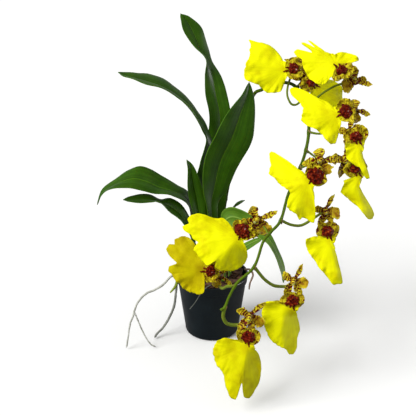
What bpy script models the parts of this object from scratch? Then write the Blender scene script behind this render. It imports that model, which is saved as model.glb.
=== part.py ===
# Potted orchid: a dancing-lady orchid with one long flower spike, growing in a small plastic nursery pot.
# Design lengths are in millimetres and become metres through MM. +Z is up, the origin is the centre of the
# pot's underside, and the spike arches over and hangs down on the -Y side.

import math

import bmesh
import bpy
import numpy as np
from mathutils import Matrix, Vector, noise

MM = 0.001
GAP = 0.3                    # clearance between pieces that touch in life

# pot
POT_HEIGHT = 67.0
POT_TOP_RADIUS = 37.5
POT_BASE_RADIUS = 27.5
POT_WALL = 1.3
POT_FLOOR = 2.0
POT_CORNER = 4.0             # rounding between wall and floor
RIM_HEIGHT = 9.0             # depth of the thicker band under the lip
RIM_STEP = 0.9               # how far the band stands out from the wall
DRAIN_COUNT = 6
DRAIN_RADIUS = 3.0
DRAIN_RING = 17.0
POT_STEPS = 48

# bark mix and bulbs
MIX_TOP = 61.0
MIX_LUMP = 2.0               # height of the bark lumps
BULB_STAND = 0.6             # bulbs stand this far above the highest lump

# leaves, flowers and spike
LEAF_THICK = 1.2
PETAL_THICK = 0.9
STEM_BASE_RADIUS = 1.9
STEM_TIP_RADIUS = 1.2
PEDICEL_RADIUS = 1.1
PEDICEL_ARRIVAL = 6.0        # a stalk reaches its star from this far straight behind it
WAIST_DROP = 8.0             # waist of the lip below its crest

COLOURS = {
    "pot_plastic": (0.016, 0.020, 0.026, 0.35),
    "bark": (0.120, 0.062, 0.038, 0.90),
    "bulb_skin": (0.130, 0.220, 0.040, 0.50),
    "leaf": (0.035, 0.110, 0.008, 0.42),
    "young_leaf": (0.130, 0.310, 0.055, 0.42),
    "stem": (0.120, 0.240, 0.020, 0.50),
    "root": (0.300, 0.310, 0.270, 0.80),
    "lip_yellow": (0.900, 0.860, 0.004, 0.55),
    "spotted_petal": (0.420, 0.330, 0.012, 0.55),
}

for old in list(bpy.data.objects):
    bpy.data.objects.remove(old, do_unlink=True)

parts = bpy.data.collections.new("potted_orchid")
cutters = bpy.data.collections.new("cutters")
bpy.context.scene.collection.children.link(parts)
bpy.context.scene.collection.children.link(cutters)


def make_material(name, red, green, blue, roughness):
    material = bpy.data.materials.new(name)
    material.use_nodes = True
    shader = material.node_tree.nodes["Principled BSDF"]
    shader.inputs["Base Color"].default_value = (red, green, blue, 1.0)
    shader.inputs["Roughness"].default_value = roughness
    shader.inputs["Metallic"].default_value = 0.0
    return material


materials = {name: make_material(name, *values) for name, values in COLOURS.items()}


def add_object(name, data, material):
    """One named part in the collection, with its own material."""
    piece = bpy.data.objects.new(name, data)
    parts.objects.link(piece)
    data.materials.append(materials[material])
    return piece


def mesh_of(name, points, faces):
    """A smooth-shaded mesh from points in millimetres."""
    mesh = bpy.data.meshes.new(name)
    mesh.from_pydata((np.asarray(points) * MM).tolist(), [], faces)
    mesh.update()
    mesh.shade_smooth()
    return mesh


def smooth_rows(rows, count):
    """Catmull-Rom curve through the rows of a table, read at equal steps of chord length."""
    rows = np.asarray(rows, dtype=float)
    ends = np.vstack([2 * rows[0] - rows[1], rows, 2 * rows[-1] - rows[-2]])
    chord = np.concatenate([[0], np.cumsum(np.linalg.norm(np.diff(rows[:, :3], axis=0), axis=1))])
    at = np.interp(np.linspace(0, chord[-1], count), chord, np.arange(len(rows)))
    k = np.minimum(at.astype(int), len(rows) - 2)
    t = (at - k)[:, None]
    p0, p1, p2, p3 = ends[k], ends[k + 1], ends[k + 2], ends[k + 3]
    return 0.5 * (2 * p1 + (p2 - p0) * t + (2 * p0 - 5 * p1 + 4 * p2 - p3) * t**2
                  + (3 * p1 - p0 - 3 * p2 + p3) * t**3)


def route_length(points):
    return float(np.linalg.norm(np.diff(np.asarray(points, dtype=float), axis=0), axis=1).sum())


def tube(name, route, first_radius, last_radius, step, material):
    """A round tube along a smooth route, its radius running evenly from one end to the other."""
    count = max(4, round(route_length(route) / step))
    path = smooth_rows(route, count)
    curve = bpy.data.curves.new(name, "CURVE")
    curve.dimensions = "3D"
    curve.bevel_depth = MM
    curve.bevel_resolution = 2
    curve.use_fill_caps = True
    spline = curve.splines.new("POLY")
    spline.points.add(count - 1)
    for point, place, radius in zip(spline.points, path, np.linspace(first_radius, last_radius, count)):
        point.co = (*(place * MM), 1.0)
        point.radius = radius
    return add_object(name, curve, material)


def turned(name, profile, steps, material):
    """A closed turned solid. The profile runs from the axis up the inside, over, and down the outside."""
    mesh = bpy.data.meshes.new(name)
    points = [(radius * MM, 0.0, height * MM) for radius, height in profile]
    mesh.from_pydata(points, [(i, i + 1) for i in range(len(points) - 1)], [])
    piece = add_object(name, mesh, material)
    screw = piece.modifiers.new("Turn", "SCREW")
    screw.steps = steps
    screw.render_steps = steps
    screw.use_merge_vertices = True
    screw.merge_threshold = 0.00001
    return piece


# pot ---------------------------------------------------------------------------------------------------

def pot_radius(height):
    """Outside of the tapering wall."""
    return POT_BASE_RADIUS + (POT_TOP_RADIUS - RIM_STEP - POT_BASE_RADIUS) * height / POT_HEIGHT


def make_pot():
    inside = [(0.0, POT_FLOOR), (pot_radius(POT_FLOOR) - POT_WALL - POT_CORNER, POT_FLOOR),
              (pot_radius(POT_FLOOR + POT_CORNER) - POT_WALL, POT_FLOOR + POT_CORNER),
              (pot_radius(POT_HEIGHT) - POT_WALL, POT_HEIGHT - 0.8)]
    lip = [(POT_TOP_RADIUS - 1.6, POT_HEIGHT), (POT_TOP_RADIUS - 0.5, POT_HEIGHT),
           (POT_TOP_RADIUS, POT_HEIGHT - 0.7),
           (pot_radius(POT_HEIGHT - RIM_HEIGHT) + RIM_STEP, POT_HEIGHT - RIM_HEIGHT),
           (pot_radius(POT_HEIGHT - RIM_HEIGHT - 1.0), POT_HEIGHT - RIM_HEIGHT - 1.0)]
    centre = pot_radius(POT_CORNER) - POT_CORNER
    turns = np.radians([0, 30, 60, 90])
    corner = [(centre + POT_CORNER * math.cos(a), POT_CORNER - POT_CORNER * math.sin(a)) for a in turns]
    pot = turned("pot", inside + lip + corner + [(0.0, 0.0)], POT_STEPS, "pot_plastic")
    drill = bmesh.new()
    for k in range(DRAIN_COUNT):
        angle = 2 * math.pi * k / DRAIN_COUNT
        place = Matrix.Translation(Vector((math.cos(angle), math.sin(angle), 0)) * DRAIN_RING * MM)
        bmesh.ops.create_cone(drill, cap_ends=True, segments=12, radius1=DRAIN_RADIUS * MM,
                              radius2=DRAIN_RADIUS * MM, depth=4 * POT_FLOOR * MM, matrix=place)
    mesh = bpy.data.meshes.new("drain_cutter")
    drill.to_mesh(mesh)
    drill.free()
    cutter = bpy.data.objects.new("drain_cutter", mesh)
    cutter.hide_render = True
    cutter.display_type = "WIRE"
    cutters.objects.link(cutter)
    cut = pot.modifiers.new("Drain holes", "BOOLEAN")
    cut.object = cutter


def make_potting_mix():
    """The bark fill: it follows the inside of the pot, and its top is lumpy."""
    low = POT_FLOOR + GAP
    corner_radius = pot_radius(low) - POT_WALL - POT_CORNER - 1.0
    wall_low = pot_radius(low + POT_CORNER + 1.0) - POT_WALL - 2 * GAP
    wall_top = pot_radius(MIX_TOP) - POT_WALL - 2 * GAP
    spokes, rings = 36, 7
    angles = np.arange(spokes) * 2 * math.pi / spokes
    radii = [corner_radius, wall_low, wall_top] + [wall_top * (rings - k) / rings for k in range(1, rings)]
    heights = [low, low + POT_CORNER + 1.0, MIX_TOP] + [MIX_TOP] * (rings - 1)
    points, faces = [], []
    for ring, (radius, height) in enumerate(zip(radii, heights)):
        for angle in angles:
            x, y = radius * math.cos(angle), radius * math.sin(angle)
            lump = noise.noise(Vector((x, y, 3.0)) * 0.16) if ring > 2 else 0.0
            points.append((x, y, height + MIX_LUMP * lump))
    for ring in range(len(radii) - 1):
        for k in range(spokes):
            a, b = ring * spokes + k, ring * spokes + (k + 1) % spokes
            faces.append((a, b, b + spokes, a + spokes))
    points += [(0.0, 0.0, low), (0.0, 0.0, MIX_TOP)]
    under, over, last = len(points) - 2, len(points) - 1, (len(radii) - 1) * spokes
    for k in range(spokes):
        faces.append((under, (k + 1) % spokes, k))
        faces.append((over, last + k, last + (k + 1) % spokes))
    add_object("potting_mix", mesh_of("potting_mix", points, faces), "bark")


def make_chip(name, place, size, turn):
    """A broken chip of bark: a box with its edges cut off, lying on the mix."""
    work = bmesh.new()
    bmesh.ops.create_cube(work, size=1.0)
    bmesh.ops.bevel(work, geom=work.edges[:], offset=0.14, segments=1, affect="EDGES")
    for vert in work.verts:
        vert.co = Vector((vert.co.x * size[0], vert.co.y * size[1], vert.co.z * size[2])) * MM
    mesh = bpy.data.meshes.new(name)
    work.to_mesh(mesh)
    work.free()
    chip = add_object(name, mesh, "bark")
    chip.location = Vector(place) * MM
    chip.rotation_euler = [math.radians(a) for a in turn]


def make_bulb(name, place, height, width, thickness):
    """A flattened egg-shaped storage bulb with a flat foot on the mix."""
    share = np.linspace(0.02, 0.93, 9)
    radius = width / 2 * np.sin(math.pi * share**0.85) ** 0.75
    profile = [(0.0, height)] + [(r, height * (1 - s)) for r, s in zip(radius, share)]
    foot = profile[-1][0]
    bulb = turned(name, profile + [(foot * 0.9, 0.0), (0.0, 0.0)], 20, "bulb_skin")
    bulb.location = Vector(place) * MM
    bulb.scale = (1.0, thickness / width, 1.0)


# leaves ------------------------------------------------------------------------------------------------

# each row is the centre x, y, z, the width, and where the width points: heading and rise in degrees
LEAVES = {
    "leaf_tall_twisted": {"fold": 0.10, "rows": [
        (3, 12, 111, 9, 0, 0), (5, 13, 143, 18, 0, 0), (5, 16, 185, 24, 5, 0), (8, 20, 226, 22, 0, -5),
        (4, 24, 251, 22, 5, -5), (1, 27, 268, 18, 20, -10), (-3, 30, 284, 17, 68, -15),
        (-11, 33, 297, 18, 45, -10), (-19, 36, 313, 19, 20, 5), (-26, 38, 324, 10, 15, 5),
        (-31, 40, 328, 2, 10, 5)]},
    "leaf_front_broad": {"fold": 0.12, "rows": [
        (3, -9, 109, 10, 10, -5), (0, -8, 144, 13, 35, -5), (3, -8, 163, 26, 20, -5),
        (9, -10, 192, 35, 10, -10), (20, -12, 217, 38, 12, -12), (28, -10, 242, 28, 15, -15),
        (34, -6, 259, 13, 20, -20), (35, -4, 272, 2, 20, -10)]},
    "leaf_upper_left": {"fold": 0.10, "rows": [
        (-9, 7, 110, 9, 20, -10), (-8, 4, 150, 20, 15, -5), (-4, 4, 186, 20, 30, -10),
        (-3, 3, 209, 18, 70, -10), (-9, 3, 226, 24, 85, 0), (-18, 2, 243, 28, 90, -5),
        (-30, 0, 257, 30, 85, -8), (-46, -3, 269, 32, 82, -4), (-62, -6, 276, 31, 80, 0),
        (-74, -8, 279, 20, 82, 0), (-84, -8, 281, 9, 85, 5), (-89, -8, 283, 2, 85, 5)]},
    "leaf_big_left": {"fold": 0.10, "rows": [
        (-20, 7, 70, 12, 85, 0), (-19, 8, 115, 13, 80, 0), (-24, 4, 147, 18, 85, 10),
        (-38, -4, 161, 24, 78, 5), (-53, -8, 168, 28, 75, 15), (-64, -10, 174, 30, 75, 25),
        (-77, -12, 178, 30, 70, 25), (-90, -14, 176, 26, 70, 18), (-101, -16, 170, 18, 72, 15),
        (-110, -17, 162, 11, 85, 15), (-114, -18, 151, 2, 100, 20)]},
    "leaf_lower_left": {"fold": 0.12, "rows": [
        (-19, -13, 70, 10, 75, 0), (-19, -12, 112, 13, 75, 5), (-28, -9, 134, 17, 78, 22),
        (-41, -10, 147, 18, 85, 25), (-52, -13, 153, 14, 92, -8), (-61, -14, 156, 14, 98, 8),
        (-72, -16, 157, 13, 92, 18), (-82, -18, 157, 8, 92, 18), (-88, -19, 157, 2, 92, 15)]},
    "leaf_small_upright": {"fold": 0.14, "rows": [
        (-9, -9, 107, 8, 15, 0), (-13, -8, 138, 13, 15, -3), (-15, -7, 153, 16, 15, 5),
        (-18, -7, 168, 14, 15, 8), (-21, -6, 185, 7, 20, 12), (-25, -6, 194, 2, 20, 10)]},
    "leaf_right_trailing": {"fold": -0.06, "rows": [
        (18, -12, 70, 9, 70, 0), (19, -12, 106, 12, 85, 10), (14, -13, 127, 15, 110, 45),
        (20, -15, 134, 17, 120, 70), (37, -20, 130, 17, 60, 75), (51, -29, 124, 14, 65, 30),
        (59, -36, 117, 12, 60, -5), (66, -43, 103, 10, 55, -8), (70, -48, 91, 6, 50, 0),
        (70, -50, 81, 2, 45, 0)]},
    "leaf_right_small": {"fold": 0.08, "rows": [
        (19, 10, 70, 7, 80, 0), (18, 14, 115, 7, 75, 5), (22, 20, 131, 6, 75, 20),
        (28, 24, 135, 5, 80, 25), (34, 28, 136, 2, 80, 25)]},
    "leaf_low_right": {"fold": 0.08, "rows": [
        (9, -23, 68, 7, 10, 0), (15, -24, 92, 9, 50, 25), (30, -25, 106, 10, 80, 40),
        (42, -28, 115, 8, 85, 35), (50, -31, 120, 2, 85, 35)]},
    "leaf_low_left": {"fold": 0.08, "rows": [
        (-14, -23, 68, 8, 30, 0), (-16, -24, 92, 8, 40, 25), (-18, -24, 108, 7, 50, 40),
        (-26, -24, 118, 2, 60, 45)]},
}


def make_leaf(name, rows, fold):
    """A keeled blade: a grid between two smooth edges, sunk along the midrib, then given a thickness."""
    rows = np.asarray(rows, dtype=float)
    heading, rise = np.radians(rows[:, 4]), np.radians(rows[:, 5])
    across = np.stack([np.cos(rise) * np.cos(heading), np.cos(rise) * np.sin(heading), np.sin(rise)], axis=1)
    half = across * rows[:, 3:4] / 2
    count = max(8, round(route_length(rows[:, :3]) / 11))
    middle = smooth_rows(rows[:, :3], count)
    reach = smooth_rows(np.hstack([rows[:, :3], half]), count)[:, 3:]
    along = np.gradient(middle, axis=0)
    face = np.cross(reach, along)
    face /= np.linalg.norm(face, axis=1, keepdims=True)
    width = 2 * np.linalg.norm(reach, axis=1, keepdims=True)
    shares = (-1.0, -0.5, 0.0, 0.5, 1.0)
    lines = [middle + share * reach - fold * width * (1 - abs(share)) * face for share in shares]
    points = np.stack(lines, axis=1).reshape(-1, 3)
    wide = len(shares)
    faces = [(k * wide + j, k * wide + j + 1, (k + 1) * wide + j + 1, (k + 1) * wide + j)
             for k in range(count - 1) for j in range(wide - 1)]
    young = name in ("leaf_right_trailing", "leaf_low_right")
    leaf = add_object(name, mesh_of(name, points, faces), "young_leaf" if young else "leaf")
    thick = leaf.modifiers.new("Thickness", "SOLIDIFY")
    thick.thickness = LEAF_THICK * MM
    thick.offset = 0.0


# flowers -----------------------------------------------------------------------------------------------

# For each flower: crest of the lip, the way the lip points, the way the flower faces, how steeply the left and
# right halves of the lip fall back from its midline, the middle of the star and its size, and the edge of the
# lip about its waist, as degrees from the way it points and millimetres.
FACE = (-0.02, -0.92, 0.40)
FLOWERS = {
    1: {"crest": (74, -30, 292), "lip": (-1.0, -0.12, 0.0), "face": FACE, "fold": (0.25, 0.35),
        "star": (79, -23, 293), "star_size": 0.75, "edge": [
            (-86, 7), (-73, 19), (-60, 32), (-50, 42), (-37, 38), (-17, 34), (-5, 36), (9, 36), (18, 32),
            (36, 26), (52, 23), (80, 18), (88, 9)]},
    2: {"crest": (114, -62, 299), "lip": (-0.56, 0.36, 0.74), "face": FACE, "fold": (0.35, 0.25),
        "star": (128, -54, 287), "star_size": 0.80, "edge": [
            (-112, 19), (-80, 18), (-54, 16), (-27, 15), (0, 13), (4, 24), (9, 34), (16, 38), (24, 31),
            (31, 40), (41, 33), (54, 30), (70, 27), (88, 25), (110, 19)]},
    3: {"crest": (117, -78, 267), "lip": (-0.94, -0.14, -0.31), "face": FACE, "fold": (0.30, 0.35),
        "star": (130, -72, 268), "star_size": 0.80, "edge": [
            (-84, 7), (-62, 21), (-58, 36), (-49, 48), (-37, 31), (-22, 29), (-7, 31), (6, 28), (17, 22),
            (33, 21), (49, 25), (63, 28), (73, 24), (80, 13)]},
    4: {"crest": (90, -36, 281), "lip": (0.73, -0.10, -0.66), "face": FACE, "fold": (0.25, 0.25),
        "star": (85, -30, 285), "star_size": 0.62, "edge": [
            (-90, 10), (-62, 22), (-32, 28), (0, 28), (14, 29), (30, 26), (45, 24), (62, 19), (88, 10)]},
    5: {"crest": (125, -94, 249), "lip": (0.36, -0.34, -0.86), "face": FACE, "fold": (0.8, 0.8),
        "star": (120, -87, 251), "star_size": 0.75, "edge": [
            (-100, 8), (-60, 9), (-30, 13), (-14, 21), (-5, 32), (0, 34), (5, 30), (10, 20), (24, 10), (70, 5)]},
    6: {"crest": (127, -92, 218), "lip": (0.37, -0.30, -0.88), "face": FACE, "fold": (0.6, 1.5),
        "star": (118, -84, 224), "star_size": 0.95, "edge": [
            (-92, 12), (-42, 17), (-22, 25), (-10, 32), (-4, 41), (2, 42), (8, 38), (7, 28), (16, 18),
            (50, 6)]},
    7: {"crest": (90, -104, 216), "lip": (-0.80, -0.28, -0.53), "face": FACE, "fold": (0.40, 0.40),
        "star": (95, -96, 227), "star_size": 0.85, "edge": [
            (-86, 9), (-81, 28), (-76, 40), (-60, 36), (-44, 32), (-21, 25), (0, 20), (18, 31), (32, 36),
            (46, 39), (60, 42), (68, 38), (74, 20), (86, 8)]},
    8: {"crest": (103, -108, 164), "lip": (0.17, -0.39, -0.90), "face": FACE, "fold": (0.30, 1.5),
        "star": (98, -101, 182), "star_size": 0.80, "edge": [
            (-112, 12), (-98, 19), (-68, 20), (-41, 22), (-21, 30), (-9, 37), (0, 39), (9, 40), (14, 38),
            (17, 24), (24, 13), (60, 4)]},
    9: {"crest": (72, -124, 102), "lip": (-0.05, -0.36, -0.93), "face": FACE, "fold": (0.30, 1.5),
        "star": (67, -119, 121), "star_size": 0.80, "edge": [
            (-110, 22), (-84, 29), (-56, 31), (-25, 36), (-9, 41), (0, 43), (5, 38), (9, 29), (15, 27),
            (26, 17), (50, 8), (80, 4)]},
    10: {"crest": (32, -142, 75), "lip": (-0.19, -0.36, -0.91), "face": FACE, "fold": (0.35, 0.9),
         "star": (33, -138, 94), "star_size": 1.0, "edge": [
             (-104, 18), (-94, 27), (-69, 33), (-46, 36), (-26, 38), (-18, 44), (-8, 50), (-3, 46), (0, 33),
             (5, 48), (14, 48), (20, 43), (27, 38), (37, 27), (48, 14), (70, 6)]},
    11: {"crest": (27, -106, 164), "lip": (-0.64, -0.31, -0.70), "face": FACE, "fold": (0.20, 0.55),
         "star": (40, -98, 171), "star_size": 1.05, "edge": [
             (-108, 17), (-92, 27), (-80, 40), (-62, 50), (-50, 43), (-40, 37), (-32, 40), (-18, 38),
             (-3, 35), (0, 30), (4, 33), (26, 32), (43, 29), (60, 22), (74, 15), (88, 9)]},
    12: {"crest": (-2, -102, 121), "lip": (-0.97, 0.05, 0.15), "face": FACE, "fold": (0.25, 0.30),
         "star": (7, -95, 113), "star_size": 0.80, "edge": [
             (-88, 12), (-64, 27), (-43, 38), (-28, 41), (-15, 42), (-6, 37), (0, 29), (8, 35), (20, 37),
             (36, 36), (56, 29), (76, 24), (88, 9)]},
}

# side lobes and head of every lip, in the same terms, on both sides
LIP_HEAD = [(116, 7), (130, 12), (146, 12), (163, 10), (180, 11)]
RIDGE = 4.0                  # half width over which the midline of a lip is rounded
HEAD_FOLD = 0.2              # share of the fold that the head above the waist keeps
LIP_CURL = 5.0               # how far the far edge bends back
RIPPLE = 1.2                 # height of the wavy edge
RIPPLE_WAVES = 9

# sepals and petals of the star: degrees from straight up, length, and half width in degrees
STAR_LOBES = [(0, 13.0, 26), (62, 12.5, 30), (-62, 12.5, 30), (128, 11.5, 24), (-128, 11.5, 24)]
STAR_HUB = 3.4


def flower_frame(flower, middle):
    """Local axes at a point of a flower: x to the side, y to the back, z up, against the way the lip points."""
    up = -Vector(flower["lip"]).normalized()
    face = Vector(flower["face"])
    back = (up * up.dot(face) - face).normalized()
    frame = Matrix((back.cross(up), back, up)).transposed().to_4x4()
    frame.translation = Vector(middle)
    return frame


def waist_frame(flower):
    """Axes at the waist of the lip, a little below its crest."""
    return flower_frame(flower, flower["crest"]) @ Matrix.Translation((0, 0, -WAIST_DROP))


def disc(name, frame, angles, radii, depth_at, rings, material):
    """A thin petal: rings of points from a centre out to an edge, angles from straight down, thickened."""
    angles = np.radians(angles)
    share = np.linspace(0, 1, rings + 1)[1:, None]
    x = (share * radii * np.sin(angles)).ravel()
    z = (share * radii * -np.cos(angles)).ravel()
    y = depth_at(x, z, np.repeat(share, len(angles), axis=1).ravel(), np.tile(angles, rings))
    points = [frame @ Vector((0, 0, 0))] + [frame @ Vector(p) for p in zip(x, y, z)]
    spokes = len(angles)
    faces = [(0, 1 + k, 1 + (k + 1) % spokes) for k in range(spokes)]
    for ring in range(rings - 1):
        for k in range(spokes):
            a, b = 1 + ring * spokes + k, 1 + ring * spokes + (k + 1) % spokes
            faces.append((a, a + spokes, b + spokes, b))
    piece = add_object(name, mesh_of(name, points, faces), material)
    thick = piece.modifiers.new("Thickness", "SOLIDIFY")
    thick.thickness = PETAL_THICK * MM
    thick.offset = 0.0


def make_lip(number, flower):
    """The large lip: its own edge below the waist, and the shared side lobes and head above it."""
    edge = flower["edge"]
    right = [pair for pair in LIP_HEAD if pair[0] > edge[-1][0] + 6]
    left = [(-angle, radius) for angle, radius in reversed(LIP_HEAD[:-1]) if -angle < edge[0][0] - 6]
    angles, radii = np.array(left + edge + right, dtype=float).T
    fold_left, fold_right = flower["fold"]

    def depth(x, z, share, angle):
        fall = (np.sqrt(x**2 + RIDGE**2) - RIDGE) * np.clip(HEAD_FOLD - z / WAIST_DROP, HEAD_FOLD, 1)
        curl = LIP_CURL * (np.maximum(-z, 0) / 45)**2
        ripple = RIPPLE * share**3 * np.sin(RIPPLE_WAVES * angle + number)
        return np.where(x > 0, fold_right, fold_left) * fall + curl + ripple

    disc(f"flower_lip_{number:02d}", waist_frame(flower), angles, radii, depth, 3, "lip_yellow")


def make_star(number, flower):
    """The two petals and three sepals behind the lip, as one star."""
    angles = np.arange(-180.0, 180.0, 12.0)
    radii = np.full(len(angles), STAR_HUB)
    for middle, length, half in STAR_LOBES:
        off = (angles - (180 - middle) + 180) % 360 - 180
        lobe = np.cos(np.clip(off / half, -1, 1) * math.pi / 2)
        radii = np.maximum(radii, STAR_HUB + (length - STAR_HUB) * lobe**0.8)

    def depth(x, z, share, angle):
        return 0.02 * (x**2 + z**2)

    frame = flower_frame(flower, flower["star"])
    size = flower["star_size"]
    disc(f"flower_star_{number:02d}", frame, angles, radii * size, depth, 2, "spotted_petal")


# spike -------------------------------------------------------------------------------------------------

STEM_ROUTE = [(10, 22, 64), (11, 21, 116), (18, 23, 164), (29, 20, 212), (39, 10, 253), (48, 2, 263),
              (59, -6, 271), (73, -19, 275), (82, -32, 269), (87, -44, 257), (88, -55, 241), (85, -66, 226),
              (79, -78, 213), (68, -92, 193), (61, -104, 173), (52, -110, 164), (45, -114, 156),
              (37, -123, 136), (22, -129, 123), (15, -132, 111), (11, -134, 101), (7, -136, 99)]

# where each flower's stalk leaves the stem, and the points it bends through on its way to the flower
PEDICELS = {
    1: ((83, -33, 267), [(79, -37, 261), (73, -39, 261), (69, -38, 268), (69, -34, 275), (73, -22, 283)]),
    2: ((87, -43, 258), [(96, -46, 270), (103, -52, 278), (114, -53, 284)]),
    3: ((88, -49, 250), [(99, -52, 256), (115, -58, 262)]),
    4: ((78, -25, 273), [(82, -23, 277)]),
    5: ((88, -56, 240), [(96, -61, 240), (110, -72, 245)]),
    6: ((85, -66, 226), [(96, -69, 219), (108, -75, 218)]),
    7: ((79, -78, 213), [(88, -81, 218)]),
    8: ((61, -104, 173), [(71, -101, 167), (81, -97, 165), (91, -94, 170)]),
    9: ((37, -123, 136), [(47, -121, 123), (56, -117, 116), (64, -112, 116)]),
    10: ((11, -134, 101), [(10, -134, 93), (14, -133, 87), (22, -130, 85)]),
    11: ((50, -111, 161), [(47, -101, 164)]),
    12: ((20, -130, 120), [(14, -119, 111), (10, -103, 99), (7, -90, 100)]),
}


def make_pedicel(number, start, bends):
    """A flower stalk: it starts at the stem's surface and ends at the back of the star."""
    frame = flower_frame(FLOWERS[number], FLOWERS[number]["star"])
    back = frame @ Vector((0, PEDICEL_ARRIVAL, 0))
    end = frame @ Vector((0, PETAL_THICK / 2 + 2 * GAP, 0))
    first = (Vector(bends[0]) - Vector(start)).normalized()
    leave = Vector(start) + first * (STEM_BASE_RADIUS + PEDICEL_RADIUS)
    route = [leave] + [Vector(b) for b in bends] + [back, end]
    tube(f"pedicel_{number:02d}", route, PEDICEL_RADIUS, PEDICEL_RADIUS, 5.0, "stem")


# roots -------------------------------------------------------------------------------------------------

ROOTS = {
    "root_long": (1.7, 1.0, [(-37, -17, 73), (-43, -21, 72), (-50, -26, 66), (-59, -30, 62), (-67, -32, 59),
                             (-76, -34, 49), (-81, -36, 34), (-84, -38, 26), (-86, -41, 13), (-88, -43, 2)]),
    "root_branch": (1.2, 0.9, [(-76.7, -35.8, 38.5), (-75.2, -36.4, 30), (-72.5, -37, 21), (-68, -39, 12),
                               (-63, -41, 5), (-58, -41, 2)]),
    "root_hook": (1.6, 1.1, [(-38, -3, 52), (-41, -9, 41), (-48, -14, 29), (-57, -19, 13), (-60, -20, 3),
                             (-57, -21, 2)]),
    "root_over_rim": (1.0, 0.9, [(8, -29, 66), (0, -33, 70), (-9, -40, 67), (-17, -37, 52), (-23, -34, 42)]),
    "root_right": (1.5, 1.2, [(34, 2, 69), (39, -6, 73), (42, -12, 70), (39, -14, 62), (38, -16, 55)]),
    "new_shoot": (2.6, 1.0, [(-30, -14, 69), (-34, -20, 72), (-37, -24, 64), (-43, -27, 57)]),
}

# parts -------------------------------------------------------------------------------------------------

make_pot()
make_potting_mix()
make_chip("bark_chip_1", (20, -20, 66.5), (13, 9, 5), (6, -8, 25))
make_chip("bark_chip_2", (27, 1, 66.5), (9, 12, 5), (-8, 10, -15))
make_chip("bark_chip_3", (-5, -27, 66.0), (12, 7, 4), (14, 6, 10))
make_bulb("bulb_front", (2, -9, MIX_TOP + MIX_LUMP + BULB_STAND), 42, 30, 15)
make_bulb("bulb_back", (0, 10, MIX_TOP + MIX_LUMP + BULB_STAND), 45, 30, 16)
for leaf_name, leaf in LEAVES.items():
    make_leaf(leaf_name, leaf["rows"], leaf["fold"])
tube("flower_stem", STEM_ROUTE, STEM_BASE_RADIUS, STEM_TIP_RADIUS, 8.0, "stem")
for number, flower in FLOWERS.items():
    make_lip(number, flower)
    make_star(number, flower)
for number, (start, bends) in PEDICELS.items():
    make_pedicel(number, start, bends)
for root_name, (first, last, route) in ROOTS.items():
    tube(root_name, route, first, last, 5.0, "root" if root_name != "new_shoot" else "stem")
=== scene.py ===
# Potted orchid: the looks of a dancing-lady orchid in a small nursery pot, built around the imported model.
# Tables are in millimetres and become metres through mm. +Z is up, and the flowers hang on the -Y side.

import math

import bmesh
import bpy
import numpy as np
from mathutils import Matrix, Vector


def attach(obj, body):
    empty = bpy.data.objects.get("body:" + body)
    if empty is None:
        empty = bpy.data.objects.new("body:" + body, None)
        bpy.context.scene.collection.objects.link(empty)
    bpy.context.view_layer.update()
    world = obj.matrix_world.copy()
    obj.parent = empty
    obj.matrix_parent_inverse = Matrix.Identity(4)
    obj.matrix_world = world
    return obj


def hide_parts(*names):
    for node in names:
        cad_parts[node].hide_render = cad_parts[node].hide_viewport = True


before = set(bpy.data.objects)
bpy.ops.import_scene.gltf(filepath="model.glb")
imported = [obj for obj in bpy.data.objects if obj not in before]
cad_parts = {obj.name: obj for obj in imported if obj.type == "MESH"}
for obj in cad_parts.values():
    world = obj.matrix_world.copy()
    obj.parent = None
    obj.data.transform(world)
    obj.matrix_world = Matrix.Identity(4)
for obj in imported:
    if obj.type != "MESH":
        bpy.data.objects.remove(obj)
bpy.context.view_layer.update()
mm = 0.001


# numbers and fields

def unit(vectors):
    # each vector over its own length
    vectors = np.asarray(vectors, dtype=float)
    return vectors / np.linalg.norm(vectors, axis=-1, keepdims=True)


def runLength(points):
    # the sum of the straight steps between points
    return float(np.linalg.norm(np.diff(np.asarray(points, dtype=float), axis=0), axis=1).sum())


def smoothRows(rows, count):
    # Catmull-Rom curve through the rows of a table, read at equal steps of the chord length of x, y, z
    rows = np.asarray(rows, dtype=float)
    ends = np.vstack([2 * rows[0] - rows[1], rows, 2 * rows[-1] - rows[-2]])
    chord = np.concatenate([[0], np.cumsum(np.linalg.norm(np.diff(rows[:, :3], axis=0), axis=1))])
    at = np.interp(np.linspace(0, chord[-1], count), chord, np.arange(len(rows)))
    k = np.minimum(at.astype(int), len(rows) - 2)
    t = (at - k)[:, None]
    p0, p1, p2, p3 = ends[k], ends[k + 1], ends[k + 2], ends[k + 3]
    return 0.5 * (2 * p1 + (p2 - p0) * t + (2 * p0 - 5 * p1 + 4 * p2 - p3) * t**2
                  + (3 * p1 - p0 - 3 * p2 + p3) * t**3)


def waves(points, length, seed, count=9):
    # a smooth random field from -1 to 1: the mean of sine waves of about one length in random directions
    random = np.random.default_rng(seed)
    points = np.asarray(points, dtype=float)
    ways = unit(random.normal(size=(count, points.shape[-1])))
    ways *= 2 * math.pi / length * random.uniform(0.7, 1.4, (count, 1))
    return 1.8 * np.sin(points @ ways.T + random.uniform(0, 2 * math.pi, count)).mean(axis=-1)


# meshes

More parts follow.
